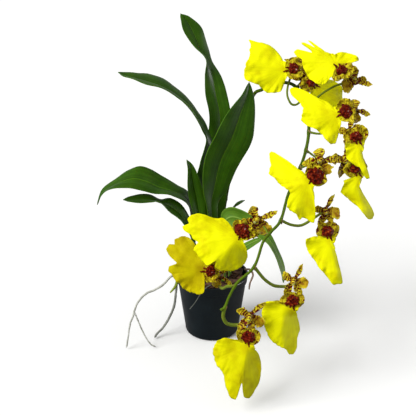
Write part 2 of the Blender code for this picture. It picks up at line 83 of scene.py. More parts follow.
def gridSheet(points, wrap=False, poles=(None, None), material=0, mark=None, reach=(1.0, 1.0)):
    # points are rows x columns x 3. wrap joins the last column to the first, and a pole closes the first or
    # last row with a fan. UV runs 0 to reach[0] along the columns and 0 to reach[1] along the rows.
    rows, columns = points.shape[:2]
    last = columns if wrap else columns - 1
    row, column = np.meshgrid(np.arange(rows - 1), np.arange(last), indexing="ij")
    turns = ((0, 0), (0, 1), (1, 1), (1, 0))
    corners = np.stack([np.stack([row + r, column + c], axis=-1) for r, c in turns], axis=2).reshape(-1, 4, 2)
    scale = np.array([reach[0] / last, reach[1] / (rows - 1)])
    quads = corners[..., 0] * columns + corners[..., 1] % columns
    quadUv = corners[..., ::-1] * scale
    flat = points.reshape(-1, 3)
    mark = np.zeros(len(flat)) if mark is None else np.asarray(mark, dtype=float).reshape(-1)
    fans, fanUv = [], []
    ring = np.arange(last)
    for end, pole in enumerate(poles):
        if pole is None:
            continue
        first = 0 if end == 0 else rows - 1
        a, b = first * columns + ring, first * columns + (ring + 1) % columns
        hub = np.full(last, len(flat))
        fans.append(np.stack([hub, b, a] if end == 0 else [hub, a, b], axis=1))
        across = np.stack([ring + 0.5, ring + 1, ring] if end == 0 else [ring + 0.5, ring, ring + 1], axis=1)
        down = np.full(across.shape, float(first))
        fanUv.append(np.stack([across, down], axis=-1) * scale)
        flat = np.vstack([flat, np.asarray(pole, dtype=float)[None]])
        mark = np.append(mark, mark[first * columns:(first + 1) * columns].mean())
    return {"points": flat, "quads": quads, "quadUv": quadUv, "mark": mark, "material": material,
            "fans": np.vstack(fans) if fans else np.zeros((0, 3), int),
            "fanUv": np.vstack(fanUv) if fanUv else np.zeros((0, 3, 2))}


def addPiece(name, sheets, materials, replaces=(), thickness=0.0, closed=False):
    # one mesh from several sheets; a vertex attribute named mark carries each sheet's own pattern value
    faces, uvs, kinds, start = [], [], [], 0
    for sheet in sheets:
        faces += (sheet["quads"] + start).tolist() + (sheet["fans"] + start).tolist()
        uvs += [sheet["quadUv"].reshape(-1, 2), sheet["fanUv"].reshape(-1, 2)]
        kinds += [sheet["material"]] * (len(sheet["quads"]) + len(sheet["fans"]))
        start += len(sheet["points"])
    points = np.vstack([sheet["points"] for sheet in sheets]) * mm
    mesh = bpy.data.meshes.new(name)
    mesh.from_pydata(points.tolist(), [], faces)
    mesh.uv_layers.new(name="surface").data.foreach_set("uv", np.vstack(uvs).ravel().astype(np.float32))
    mesh.polygons.foreach_set("material_index", kinds)
    mark = np.concatenate([sheet["mark"] for sheet in sheets]).astype(np.float32)
    mesh.attributes.new("mark", "FLOAT", "POINT").data.foreach_set("value", mark)
    for material in materials:
        mesh.materials.append(material)
    if closed:
        work = bmesh.new()
        work.from_mesh(mesh)
        bmesh.ops.recalc_face_normals(work, faces=work.faces)
        work.to_mesh(mesh)
        work.free()
    mesh.update()
    mesh.shade_smooth()
    piece = bpy.data.objects.new(name, mesh)
    bpy.context.scene.collection.objects.link(piece)
    if thickness:
        solid = piece.modifiers.new("Thickness", "SOLIDIFY")
        solid.thickness = thickness * mm
        solid.offset = 0.0
    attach(piece, "root")
    if replaces:
        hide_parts(*replaces)
    return piece


def tubeSheet(route, radii, sides=14, step=1.5, rough=0.0, seed=0):
    # circles carried along a smooth route, each turned as little as possible from the one before; radii are
    # (share of the length, radius) pairs, and rough lifts the skin by a random field of that height
    length = runLength(route)
    count = max(6, round(length / step))
    path = smoothRows(route, count)
    along = unit(np.gradient(path, axis=0))
    side = np.zeros_like(along)
    start = np.array([0.0, 0.0, 1.0]) if abs(along[0, 2]) < 0.9 else np.array([1.0, 0.0, 0.0])
    side[0] = unit(start - along[0] * (start @ along[0]))
    for k in range(1, count):
        side[k] = unit(side[k - 1] - along[k] * (side[k - 1] @ along[k]))
    other = np.cross(along, side)
    share = np.linspace(0, 1, count)
    radius = np.interp(share, *np.array(radii, dtype=float).T)[:, None]
    turn = np.arange(sides) * 2 * math.pi / sides
    ring = side[:, None] * np.cos(turn)[None, :, None] + other[:, None] * np.sin(turn)[None, :, None]
    skin = path[:, None] + ring * radius[..., None]
    if rough:
        skin = skin + ring * (rough * waves(skin, 5 * radius.mean(), seed))[..., None]
    return gridSheet(skin, wrap=True, poles=(path[0], path[-1]), mark=np.repeat(share, sides),
                     reach=(1.0, length / 10))


def blobSheet(middle, axes, radii, bumps=0.0, bumpLength=3.0, seed=0, size=(14, 26), material=0):
    # an ellipsoid on local axes, its radius raised and lowered by a random field
    rise = np.linspace(0, math.pi, size[0] + 2)[1:-1, None]
    turn = (np.arange(size[1]) * 2 * math.pi / size[1])[None]
    ball = np.stack([np.sin(rise) * np.cos(turn), np.sin(rise) * np.sin(turn), np.cos(rise) + 0 * turn],
                    axis=-1)
    local = ball * np.asarray(radii, dtype=float)
    local = local * (1 + bumps * waves(local + seed, bumpLength, seed))[..., None]
    ends = [np.array([0, 0, radii[2]]), np.array([0, 0, -radii[2]])]
    place = lambda p: np.asarray(middle, dtype=float) + p @ axes
    return gridSheet(place(local), wrap=True, poles=(place(ends[0]), place(ends[1])), material=material)


def colour(code):
    # sRGB hex to linear red, green, blue and alpha
    parts = [int(code[k:k + 2], 16) / 255 for k in (1, 3, 5)]
    return (*[c / 12.92 if c <= 0.04045 else ((c + 0.055) / 1.055)**2.4 for c in parts], 1.0)


def addNode(tree, kind, settings):
    # adds a node; a setting is an input's value, a property, a ramp's stops, or a node or socket to link in
    node = tree.nodes.new("ShaderNode" + kind)
    for key, value in settings.items():
        if isinstance(value, bpy.types.Node):
            value = next(output for output in value.outputs if output.enabled)
        if isinstance(value, bpy.types.NodeSocket):
            tree.links.new(value, node.inputs[key])
        elif key == "stops":
            elements = node.color_ramp.elements
            while len(elements) < len(value):
                elements.new(0.5)
            for element, (place, code) in zip(elements, value):
                element.position = place
                element.color = colour(code)
        elif isinstance(key, int) or key in node.inputs:
            node.inputs[key].default_value = colour(value) if isinstance(value, str) else value
        else:
            setattr(node, key, value)
    return node


def startMaterial(name):
    # an empty material, its tree, and the two coordinates that patterns read: UV map and metres on the object
    material = bpy.data.materials.new(name)
    material.use_nodes = True
    tree = material.node_tree
    tree.nodes.clear()
    place = addNode(tree, "TexCoord", {})
    return material, tree, place.outputs["UV"], place.outputs["Object"]


def finishMaterial(tree, settings, body, rough=None, relief=None):
    # the shader: its colour, a roughness between two values that follows a pattern, and a relief given as
    # strength, depth in millimetres and pattern
    inputs = {**settings, "Base Color": body}
    if rough:
        inputs["Roughness"] = addNode(tree, "MapRange", {0: rough[2], 3: rough[0], 4: rough[1]})
    if relief:
        strength, depth, pattern = relief
        inputs["Normal"] = addNode(tree, "Bump", {"Strength": strength, "Distance": depth * mm,
                                                  "Height": pattern})
    shader = addNode(tree, "BsdfPrincipled", inputs)
    addNode(tree, "OutputMaterial", {"Surface": shader})


# In a Mix node 0 is the factor, and 6 and 7 are the colours. In a Map Range 1 and 2 are the range read, and
# 3 and 4 the range given.
black = "#000000"
white = "#ffffff"
blend = {"data_type": "RGBA"}
multiply = {"data_type": "RGBA", "blend_type": "MULTIPLY"}
thinTissue = {"IOR": 1.4, "Subsurface Weight": 0.10, "Subsurface Scale": 0.002}

potLook = {"plastic": "#071116", "worn": "#0f1b20", "dust": "#2a3134", "roughness": 0.26, "speckMm": 0.5}


def nurseryPlastic():
    # injection-moulded polypropylene, dyed black: a smooth satin skin with a bluish sheen and faint dust
    material, tree, uv, spot = startMaterial("mouldedPolypropylene")
    cloud = addNode(tree, "TexNoise", {"Vector": spot, "Scale": 45.0, "Detail": 5.0})
    blotch = addNode(tree, "ValToRGB", {"Fac": cloud, "stops": [(0.42, black), (0.75, white)]})
    streakPlace = addNode(tree, "Mapping", {"Vector": spot, "Scale": (160.0, 160.0, 9.0)})
    streak = addNode(tree, "TexNoise", {"Vector": streakPlace, "Scale": 1.0, "Detail": 4.0})
    dusty = addNode(tree, "ValToRGB", {"Fac": streak, "stops": [(0.58, black), (0.80, "#707070")]})
    body = addNode(tree, "Mix", {**blend, 0: blotch, 6: potLook["plastic"], 7: potLook["worn"]})
    body = addNode(tree, "Mix", {**blend, 0: dusty, 6: body, 7: potLook["dust"]})
    speck = addNode(tree, "TexNoise", {"Vector": spot, "Scale": 1 / (potLook["speckMm"] * mm),
                                       "Detail": 2.0})
    finishMaterial(tree, {"IOR": 1.49, "Specular IOR Level": 0.28}, body,
                   (potLook["roughness"], potLook["roughness"] + 0.16, cloud), (0.10, 0.05, speck))
    return material


barkLook = {"layerMm": 0.9, "wet": ("#140d0a", "#2e1f18", "#5a4034"),
            "dry": ("#2b1d17", "#694838", "#a07a62")}


def pineBark(name, dark, body, light):
    # composted pine bark: dry corky plates in thin layers, matt, pinkish brown on fresh breaks
    material, tree, uv, spot = startMaterial(name)
    layerPlace = addNode(tree, "Mapping", {"Vector": spot, "Rotation": (0.5, 0.3, 0.2),
                                           "Scale": (180.0, 240.0, 1 / (barkLook["layerMm"] * mm))})
    layer = addNode(tree, "TexNoise", {"Vector": layerPlace, "Scale": 1.0, "Detail": 6.0,
                                       "Roughness": 0.62})
    tone = addNode(tree, "ValToRGB", {"Fac": layer, "stops": [(0.30, dark), (0.50, body), (0.72, light)]})
    patch = addNode(tree, "TexNoise", {"Vector": spot, "Scale": 110.0, "Detail": 3.0})
    depth = addNode(tree, "ValToRGB", {"Fac": patch, "stops": [(0.35, "#6e6e6e"), (0.65, white)]})
    shaded = addNode(tree, "Mix", {**multiply, 0: 0.85, 6: tone, 7: depth})
    finishMaterial(tree, {"IOR": 1.4, "Specular IOR Level": 0.25}, shaded, (0.78, 0.98, layer),
                   (0.8, 0.5, layer))
    return material


def leafCuticle(name, dark, body, light, rib, roughness=0.36):
    # orchid leaf: waxy cuticle over parallel veins that run the length of the blade, a paler sunk midrib,
    # and soft mottling; u crosses the blade and v is its length in steps of 10 mm
    material, tree, uv, spot = startMaterial(name)
    veinPlace = addNode(tree, "Mapping", {"Vector": uv, "Scale": (34.0, 0.10, 1.0)})
    vein = addNode(tree, "TexNoise", {"Vector": veinPlace, "Scale": 1.0, "Detail": 3.0, "Roughness": 0.6})
    mottle = addNode(tree, "TexNoise", {"Vector": spot, "Scale": 60.0, "Detail": 4.0, "Roughness": 0.55})
    tone = addNode(tree, "ValToRGB", {"Fac": mottle, "stops": [(0.34, dark), (0.54, body), (0.76, light)]})
    stripe = addNode(tree, "ValToRGB", {"Fac": vein, "stops": [(0.35, "#9a9a9a"), (0.68, white)]})
    skin = addNode(tree, "Mix", {**multiply, 0: 0.55, 6: tone, 7: stripe})
    axis = addNode(tree, "SeparateXYZ", {0: uv})
    away = addNode(tree, "Math", {"operation": "SUBTRACT", 0: axis.outputs[0], 1: 0.5})
    off = addNode(tree, "Math", {"operation": "ABSOLUTE", 0: away})
    ribMask = addNode(tree, "MapRange", {0: off, 1: 0.010, 2: 0.032, 3: 0.75, 4: 0.0})
    edgeMask = addNode(tree, "MapRange", {0: off, 1: 0.475, 2: 0.5, 3: 0.0, 4: 0.55})
    for mask in (ribMask, edgeMask):
        skin = addNode(tree, "Mix", {**blend, 0: mask, 6: skin, 7: rib})
    finishMaterial(tree, {"IOR": 1.42, "Specular IOR Level": 0.16, "Subsurface Weight": 0.06,
                          "Subsurface Scale": 0.002}, skin,
                   (roughness - 0.05, roughness + 0.16, mottle), (0.35, 0.25, vein))
    return material


def fibreSkin(name, onUv, stretch, detail, stops, settings, rough, relief):
    # a skin of one grain stretched along its length: a ramp of tones, with roughness and relief that follow
    material, tree, uv, spot = startMaterial(name)
    place = addNode(tree, "Mapping", {"Vector": uv if onUv else spot, "Scale": stretch})
    grain = addNode(tree, "TexNoise", {"Vector": place, "Scale": 1.0, "Detail": detail})
    tone = addNode(tree, "ValToRGB", {"Fac": grain, "stops": stops})
    finishMaterial(tree, settings, tone, (*rough, grain), (*relief, grain))
    return material


def stemSkin(name, first, last, fleck):
    # flower stalk: smooth waxy skin, fine lengthwise streaks, paler towards the young end (mark runs 0 to 1)
    material, tree, uv, spot = startMaterial(name)
    stretch = addNode(tree, "Mapping", {"Vector": uv, "Scale": (9.0, 0.35, 1.0)})
    grain = addNode(tree, "TexNoise", {"Vector": stretch, "Scale": 1.0, "Detail": 4.0})
    age = addNode(tree, "Attribute", {"attribute_name": "mark"}).outputs["Fac"]
    ramp = addNode(tree, "ValToRGB", {"Fac": age, "stops": [(0.0, first), (1.0, last)]})
    streak = addNode(tree, "ValToRGB", {"Fac": grain, "stops": [(0.38, "#a8a8a8"), (0.66, white)]})
    body = addNode(tree, "Mix", {**multiply, 0: 0.6, 6: ramp, 7: streak})
    spots = addNode(tree, "TexNoise", {"Vector": spot, "Scale": 700.0, "Detail": 1.0})
    spotMask = addNode(tree, "MapRange", {0: spots, 1: 0.66, 2: 0.74, 3: 0.0, 4: 0.5})
    body = addNode(tree, "Mix", {**blend, 0: spotMask, 6: body, 7: fleck})
    finishMaterial(tree, {"IOR": 1.42, "Specular IOR Level": 0.05, "Subsurface Weight": 0.08,
                          "Subsurface Scale": 0.002}, body, (0.38, 0.56, grain), (0.25, 0.1, grain))
    return material


def rootSkin(name, dark, body, light):
    # aerial root: spongy papery velamen, silvery grey-green, wrinkled and stained where it has dried
    material, tree, uv, spot = startMaterial(name)
    blotch = addNode(tree, "TexNoise", {"Vector": spot, "Scale": 160.0, "Detail": 5.0, "Roughness": 0.65})
    tone = addNode(tree, "ValToRGB", {"Fac": blotch, "stops": [(0.30, dark), (0.50, body), (0.70, light)]})
    wrinkle = addNode(tree, "TexNoise", {"Vector": spot, "Scale": 900.0, "Detail": 4.0})
    finishMaterial(tree, {"IOR": 1.4, "Specular IOR Level": 0.3}, tone, (0.65, 0.9, blotch),
                   (0.6, 0.25, wrinkle))
    return material


# the first look is the lip's own yellow; the second and third are that yellow painted darker, painted shade
# for flowers 10 and 12, which hang in the shade of the others
freshLip = {"bright": "#efef02", "body": "#eae801", "deep": "#dcd401", "throat": "#c8a802"}
halfShadeLip = {"bright": "#dfdc02", "body": "#d8d301", "deep": "#cabf01", "throat": "#b89402"}
deepShadeLip = {"bright": "#c6ba02", "body": "#bcae01", "deep": "#ae9d01", "throat": "#9a7802"}
headLook = {"pale": "#cfc120", "deep": "#8a7208", "fleck": "#571408"}


def lipPetal(name, look):
    # lip: thin velvety petal, pure lemon yellow, with fine veins that fan out from the throat (u goes round
    # the lip and v from the throat to the rim) and light glowing through it; the side lobes round the crest
    # are duller gold with maroon flecks (mark runs 0 to 1 into them)
    material, tree, uv, spot = startMaterial(name)
    fanPlace = addNode(tree, "Mapping", {"Vector": uv, "Scale": (85.0, 0.8, 1.0)})
    fan = addNode(tree, "TexNoise", {"Vector": fanPlace, "Scale": 1.0, "Detail": 3.0,
                                     "Roughness": 0.6, "Distortion": 0.2})
    soft = addNode(tree, "TexNoise", {"Vector": spot, "Scale": 75.0, "Detail": 3.0})
    tone = addNode(tree, "ValToRGB", {"Fac": soft, "stops": [
        (0.30, look["deep"]), (0.46, look["body"]), (0.60, look["bright"])]})
    vein = addNode(tree, "ValToRGB", {"Fac": fan, "stops": [(0.30, "#e4e4e4"), (0.55, white)]})
    glow = addNode(tree, "Mix", {**multiply, 0: 0.4, 6: tone, 7: vein})
    axis = addNode(tree, "SeparateXYZ", {0: uv})
    throat = addNode(tree, "MapRange", {0: axis.outputs[1], 1: 0.02, 2: 0.20, 3: 0.3, 4: 0.0})
    body = addNode(tree, "Mix", {**blend, 0: throat, 6: glow, 7: look["throat"]})
    mottle = addNode(tree, "TexNoise", {"Vector": spot, "Scale": 330.0, "Detail": 3.0})
    lobe = addNode(tree, "ValToRGB", {"Fac": mottle, "stops": [
        (0.36, headLook["deep"]), (0.62, headLook["pale"])]})
    fleck = addNode(tree, "TexNoise", {"Vector": spot, "Scale": 360.0, "Detail": 2.5})
    fleckMask = addNode(tree, "MapRange", {0: fleck, 1: 0.565, 2: 0.62})
    side = addNode(tree, "Mix", {**blend, 0: fleckMask, 6: lobe, 7: headLook["fleck"]})
    head = addNode(tree, "Attribute", {"attribute_name": "mark"}).outputs["Fac"]
    body = addNode(tree, "Mix", {**blend, 0: head, 6: body, 7: side})
    finishMaterial(tree, {**thinTissue, "Roughness": 0.65, "Specular IOR Level": 0.06,
                          "Subsurface Radius": (1.0, 0.9, 0.05)}, body, relief=(0.12, 0.25, fan))
    return material


def waxyCallus():
    # callus: the swollen waxy crest of the lip, dark maroon with redder swellings, and a painted highlight: a
    # pale fleck (mark) high on its front
    material, tree, uv, spot = startMaterial("waxyCallus")
    cloud = addNode(tree, "TexNoise", {"Vector": spot, "Scale": 480.0, "Detail": 4.0})
    tone = addNode(tree, "ValToRGB", {"Fac": cloud, "stops": [
        (0.34, "#380702"), (0.50, "#5f1204"), (0.62, "#7e240a"), (0.74, "#b4641a")]})
    pale = addNode(tree, "Attribute", {"attribute_name": "mark"}).outputs["Fac"]
    body = addNode(tree, "Mix", {**blend, 0: pale, 6: tone, 7: "#f0cdb8"})
    finishMaterial(tree, {"IOR": 1.42, "Specular IOR Level": 0.07}, body, (0.42, 0.66, cloud),
                   (0.5, 0.4, cloud))
    return material


tepalLook = {"rim": "#d6ca2c", "bar": "#6a1607", "darkBar": "#420a04", "bars": 30.0, "wobble": 0.55}


def barredTepal(name, coverage, gold, yellow):
    # sepals and petals: gold to lemon with broken maroon bars across them, thicker near the middle of the
    # flower; u crosses the petal and v runs from its base to its tip
    material, tree, uv, spot = startMaterial(name)
    wobble = addNode(tree, "TexNoise", {"Vector": spot, "Scale": 300.0, "Detail": 2.0})
    axis = addNode(tree, "SeparateXYZ", {0: uv})
    push = addNode(tree, "Math", {"operation": "MULTIPLY_ADD", 0: wobble, 1: tepalLook["wobble"],
                                  2: axis.outputs[1]})
    rings = addNode(tree, "Math", {"operation": "MULTIPLY", 0: push, 1: tepalLook["bars"]})
    wave = addNode(tree, "Math", {"operation": "SINE", 0: rings})
    fade = addNode(tree, "MapRange", {0: axis.outputs[1], 1: 0.12, 2: coverage, 3: 0.9, 4: -1.0})
    level = addNode(tree, "Math", {"operation": "ADD", 0: wave, 1: fade})
    bars = addNode(tree, "MapRange", {0: level, 1: 0.05, 2: 0.30, 3: 0.0, 4: 1.0})
    ground = addNode(tree, "ValToRGB", {"Fac": wobble, "stops": [(0.38, gold), (0.6, yellow)]})
    off = addNode(tree, "Math", {"operation": "SUBTRACT", 0: axis.outputs[0], 1: 0.5})
    side = addNode(tree, "Math", {"operation": "ABSOLUTE", 0: off})
    rim = addNode(tree, "MapRange", {0: side, 1: 0.36, 2: 0.5, 3: 0.0, 4: 0.8})
    body = addNode(tree, "Mix", {**blend, 0: rim, 6: ground, 7: tepalLook["rim"]})
    dark = addNode(tree, "ValToRGB", {"Fac": wobble, "stops": [
        (0.4, tepalLook["darkBar"]), (0.62, tepalLook["bar"])]})
    body = addNode(tree, "Mix", {**blend, 0: bars, 6: body, 7: dark})
    finishMaterial(tree, {**thinTissue, "Roughness": 0.55, "Specular IOR Level": 0.14}, body,
                   relief=(0.3, 0.2, wobble))
    return material


plastic = nurseryPlastic()
barkBody = pineBark("pineBarkFill", *barkLook["wet"])
barkChip = pineBark("pineBarkChip", *barkLook["dry"])
oldLeaf = leafCuticle("orchidLeafCuticle", "#2f5704", "#376105", "#416c09", "#558018")
youngLeaf = leafCuticle("youngLeafCuticle", "#527d1a", "#638e25", "#79a236", "#8eb04c", 0.42)
# storage bulb: smooth green skin over shallow ribs, with fine pale lengthwise flecks
bulbGreen = fibreSkin("bulbSkin", False, (260.0, 260.0, 24.0), 5.0,
                      [(0.32, "#3f5a16"), (0.52, "#5c7a22"), (0.74, "#8a9a48")],
                      {"IOR": 1.45, "Coat Weight": 0.1}, (0.40, 0.62), (0.3, 0.2))
stemGreen = stemSkin("flowerSpikeSkin", "#35490a", "#5f7c14", "#5c481a")
stalkGreen = stemSkin("flowerStalkSkin", "#6f8422", "#98a83c", "#9c8a3a")
rootGrey = rootSkin("rootVelamen", "#8c8c80", "#b6b7ac", "#d9dad2")
rootWet = rootSkin("wetRootVelamen", "#40423e", "#5c5e57", "#74766e")
rootDamp = rootSkin("dampRootVelamen", "#5e605a", "#82847b", "#a2a49a")
rootBrown = rootSkin("driedRootVelamen", "#6a4a3c", "#9a7f6e", "#c2b0a0")
lipFresh = lipPetal("lemonLipPetal", freshLip)
lipHalfShade = lipPetal("halfShadeLipPetal", halfShadeLip)
lipDeepShade = lipPetal("deepShadeLipPetal", deepShadeLip)
callusMaroon = waxyCallus()
tepalBarred = barredTepal("barredTepal", 0.95, "#9c780c", "#d2c41e")
tepalGold = barredTepal("goldenTepal", 0.55, "#8c620a", "#bda214")
columnPale = stemSkin("antherCap", "#b9bf6a", "#e6e3b4", "#8a3a1a")
# bract and old sheath: thin papery scale, straw to brown, with lengthwise fibres
bractStraw = fibreSkin("dryBract", True, (26.0, 0.6, 1.0), 4.0,
                       [(0.32, "#5e4728"), (0.52, "#94794a"), (0.72, "#b9a578")],
                       {"IOR": 1.4, "Specular IOR Level": 0.3}, (0.6, 0.85), (0.5, 0.2))
print("materials done")


# pot
pot = {"height": 67.0, "topRadius": 37.5, "baseRadius": 27.5, "wall": 1.3, "floor": 2.0, "corner": 4.0,
       "rimHeight": 9.0, "rimStep": 0.9, "drainCount": 6, "drainRadius": 3.0, "drainRing": 17.0, "steps": 144,
       "mixTop": 61.0}


def potRadius(height):
    # the outside of the wall under its rim band, straight from base to top
    spread = pot["topRadius"] - pot["rimStep"] - pot["baseRadius"]
    return pot["baseRadius"] + spread * height / pot["height"]


def arc(radius, height, size, first, last, count):
    # points on a circle about (radius, height), from one angle to another in degrees
    turn = np.radians(np.linspace(first, last, count))
    return np.stack([radius + size * np.cos(turn), height + size * np.sin(turn)], axis=1).tolist()


def lathe(profile, steps):
    # a profile of (radius, height) points turned about the Z axis, closed at both ends
    profile = np.asarray(profile, dtype=float)
    turn = np.arange(steps) * 2 * math.pi / steps
    x = profile[:, None, 0] * np.cos(turn)
    y = profile[:, None, 0] * np.sin(turn)
    z = np.repeat(profile[:, None, 1], steps, axis=1)
    ends = ([0, 0, profile[0, 1]], [0, 0, profile[-1, 1]])
    return gridSheet(np.stack([x, y, z], axis=-1), wrap=True, poles=ends,
                     reach=(1.0, runLength(profile) / 10))


def makePot():
    # inside: floor, rounded corner, wall; over the rolled lip; outside: rim band, its step, wall and foot
    height, top, corner = pot["height"], pot["topRadius"], pot["corner"]
    inner = lambda z: potRadius(z) - pot["wall"]
    inside = [(6.0, pot["floor"]), (inner(pot["floor"]) - corner, pot["floor"])]
    inside += arc(inner(pot["floor"] + corner) - corner, pot["floor"] + corner, corner, -75, 0, 7)
    inside += [(inner(z), z) for z in np.linspace(12, height - 2.4, 12)]
    rolled = arc(top - 1.1, height - 1.1, 1.1, 200, -30, 12)
    bandLow = height - pot["rimHeight"]
    band = [(top - 0.35, height - 2.6), (potRadius(bandLow) + pot["rimStep"] + 0.15, bandLow + 0.8)]
    band += arc(potRadius(bandLow) + pot["rimStep"] - 0.35, bandLow + 0.5, 0.5, 0, -90, 5)
    outside = [(potRadius(bandLow - 0.6) + 0.15, bandLow - 0.3), (potRadius(bandLow - 1.2), bandLow - 1.2)]
    outside += [(potRadius(z), z) for z in np.linspace(bandLow - 4, corner + 2, 10)]
    foot = arc(potRadius(corner) - corner, corner, corner, 0, -90, 9)
    under = [(potRadius(corner) - corner - 2.0, 0.0), (potRadius(corner) - corner - 3.0, 0.6), (6.0, 0.6)]
    profile = inside + rolled + band + outside + foot + under
    shell = addPiece("pot_shell", [lathe(profile, pot["steps"])], [plastic], ["pot"],
                     closed=True)
    drill = bmesh.new()
    for angle in np.arange(pot["drainCount"]) * 2 * math.pi / pot["drainCount"]:
        made = bmesh.ops.create_cone(drill, cap_ends=True, segments=28, radius1=pot["drainRadius"] * mm,
                                     radius2=pot["drainRadius"] * mm, depth=8 * mm)
        bmesh.ops.translate(drill, verts=made["verts"],
                            vec=Vector((math.cos(angle), math.sin(angle), 0)) * pot["drainRing"] * mm)
    mesh = bpy.data.meshes.new("drainCutter")
    drill.to_mesh(mesh)
    drill.free()
    cutter = bpy.data.objects.new("drainCutter", mesh)
    bpy.context.scene.collection.objects.link(cutter)
    cut = shell.modifiers.new("Drain holes", "BOOLEAN")
    cut.object = cutter
    evaluated = shell.evaluated_get(bpy.context.evaluated_depsgraph_get())
    finished = bpy.data.meshes.new_from_object(evaluated)
    shell.modifiers.clear()
    shell.data = finished
    shell.data.set_sharp_from_angle(angle=math.radians(40))
    bpy.data.objects.remove(cutter, do_unlink=True)


makePot()
print("pot done")


# bark and bulbs; hand is the chips listed one by one: x, y, z, long, wide, high, and turned by degrees
bark = {"lump": 1.6, "chips": 150, "seed": 11, "longest": 12.0,
        "hand": [(20, -20, 66.5, 13, 9, 5, 25), (27, 1, 66.5, 9, 12, 5, -15), (-5, -27, 66.0, 12, 7, 4, 10),
                 (-20, -24, 65.5, 11, 7, 4, 60), (12, -29, 65.5, 9, 6, 3.5, 5), (29, -12, 66.0, 8, 6, 4, 40)]}


def makeBarkFill():
    # a turned plug that fills the pot, its top lifted and sunk by two random fields
    low, top = pot["floor"] + 0.3, pot["mixTop"]
    profile = [(4.0, low), (potRadius(low) - 7.5, low), (potRadius(12) - 2.2, 12), (potRadius(30) - 2.2, 30),
               (potRadius(50) - 2.2, 50), (potRadius(top) - 2.1, top - 1.5)]
    profile += [(radius, top) for radius in np.linspace(potRadius(top) - 2.6, 1.0, 34)]
    sheet = lathe(profile, 96)
    points = sheet["points"]
    lift = bark["lump"] * waves(points[:, :2], 13, 3) + 0.7 * waves(points[:, :2], 4.5, 5)
    points[:, 2] += np.where(points[:, 2] > top - 1, lift, 0)
    addPiece("bark_fill", [sheet], [barkBody], ["potting_mix"], closed=True)


def chipTemplate():
    # a cube with each face split in two by two and its corners drawn in
    work = bmesh.new()
    bmesh.ops.create_cube(work, size=2.0)
    bmesh.ops.subdivide_edges(work, edges=work.edges[:], cuts=1, use_grid_fill=True)
    points = np.array([vert.co for vert in work.verts])
    faces = np.array([[vert.index for vert in face.verts] for face in work.faces])
    work.free()
    return points / np.linalg.norm(points, axis=1, keepdims=True)**0.45, faces


def makeBarkChips():
    # many copies of one chip, each stretched, turned and broken by its own random numbers, in one array
    random = np.random.default_rng(bark["seed"])
    template, faces = chipTemplate()
    count = bark["chips"]
    reach = potRadius(pot["mixTop"]) - 5.5
    radius, turn = reach * np.sqrt(random.random(count)), random.uniform(0, 2 * math.pi, count)
    size = np.stack([random.uniform(0.45, 1.0, count), random.uniform(0.3, 0.62, count),
                     random.uniform(0.12, 0.26, count)], axis=1) * bark["longest"] / 2
    place = np.stack([radius * np.cos(turn), radius * np.sin(turn),
                      pot["mixTop"] + 1.6 + random.uniform(-0.8, 2.4, count)], axis=1)
    hand = np.array(bark["hand"])
    place[:len(hand)], size[:len(hand)] = hand[:, :3], hand[:, 3:6] / 2
    spin = random.uniform(0, 2 * math.pi, count)
    spin[:len(hand)] = np.radians(hand[:, 6])
    tilt = random.uniform(-0.35, 0.35, (count, 2))
    local = template[None] * size[:, None]
    broken = waves(local + place[:, None], 4.0, 21)[..., None]
    local = local + 0.16 * size.mean() * broken * template[None]
    x, y = local[..., 0], local[..., 1]
    z = local[..., 2] + x * tilt[:, :1] + y * tilt[:, 1:]
    c, s = np.cos(spin)[:, None], np.sin(spin)[:, None]
    world = np.stack([x * c - y * s, x * s + y * c, z], axis=-1) + place[:, None]
    quads = (faces[None] + (np.arange(count) * len(template))[:, None, None]).reshape(-1, 4)
    sheet = {"points": world.reshape(-1, 3), "quads": quads, "quadUv": np.zeros((len(quads), 4, 2)),
             "mark": np.zeros(count * len(template)), "material": 0, "fans": np.zeros((0, 3), int),
             "fanUv": np.zeros((0, 3, 2))}
    piece = addPiece("bark_chips", [sheet], [barkChip], ["bark_chip_1", "bark_chip_2", "bark_chip_3"],
                     closed=True)
    piece.data.set_sharp_from_angle(angle=math.radians(38))


bulbs = {
    "bulb_front": {"place": (2, -9, 62.5), "height": 44.0, "width": 29.0, "thickness": 14.5, "ribs": 9},
    "bulb_back": {"place": (0, 10, 62.5), "height": 47.0, "width": 29.0, "thickness": 15.5, "ribs": 8},
}


def makeBulb(name, bulb):
    # a flattened egg: radius by a sine of the height, with shallow ribs that fade at both ends
    rows, steps = 46, 72
    share = np.linspace(0.015, 0.985, rows)[:, None]
    turn = (np.arange(steps) * 2 * math.pi / steps)[None]
    radius = bulb["width"] / 2 * np.sin(math.pi * share**0.85)**0.75
    radius = radius * (1 + 0.035 * np.cos(bulb["ribs"] * turn) * np.sin(math.pi * share))
    flat = bulb["thickness"] / bulb["width"]
    grid = np.stack([radius * np.cos(turn), radius * np.sin(turn) * flat,
                     bulb["height"] * (1 - share) + 0 * turn], axis=-1)
    grid = grid * (1 + 0.02 * waves(grid, 16, bulb["ribs"]))[..., None] + np.array(bulb["place"], dtype=float)
    x, y, z = bulb["place"]
    sheet = gridSheet(grid, wrap=True, poles=((x, y, z + bulb["height"]), (x, y, z)))
    addPiece(name + "_skin", [sheet], [bulbGreen], [name], closed=True)


# for each papery sheath: its bulb, the two radii of its oval, its top, and the degrees that it covers
husks = [("bulb_front", (11.5, 7.0), 88, 160, 330), ("bulb_front", (12.2, 7.8), 80, -60, 70),
         ("bulb_back", (11.5, 7.5), 90, 20, 190), ("bulb_back", (12.2, 8.2), 79, 150, 300)]


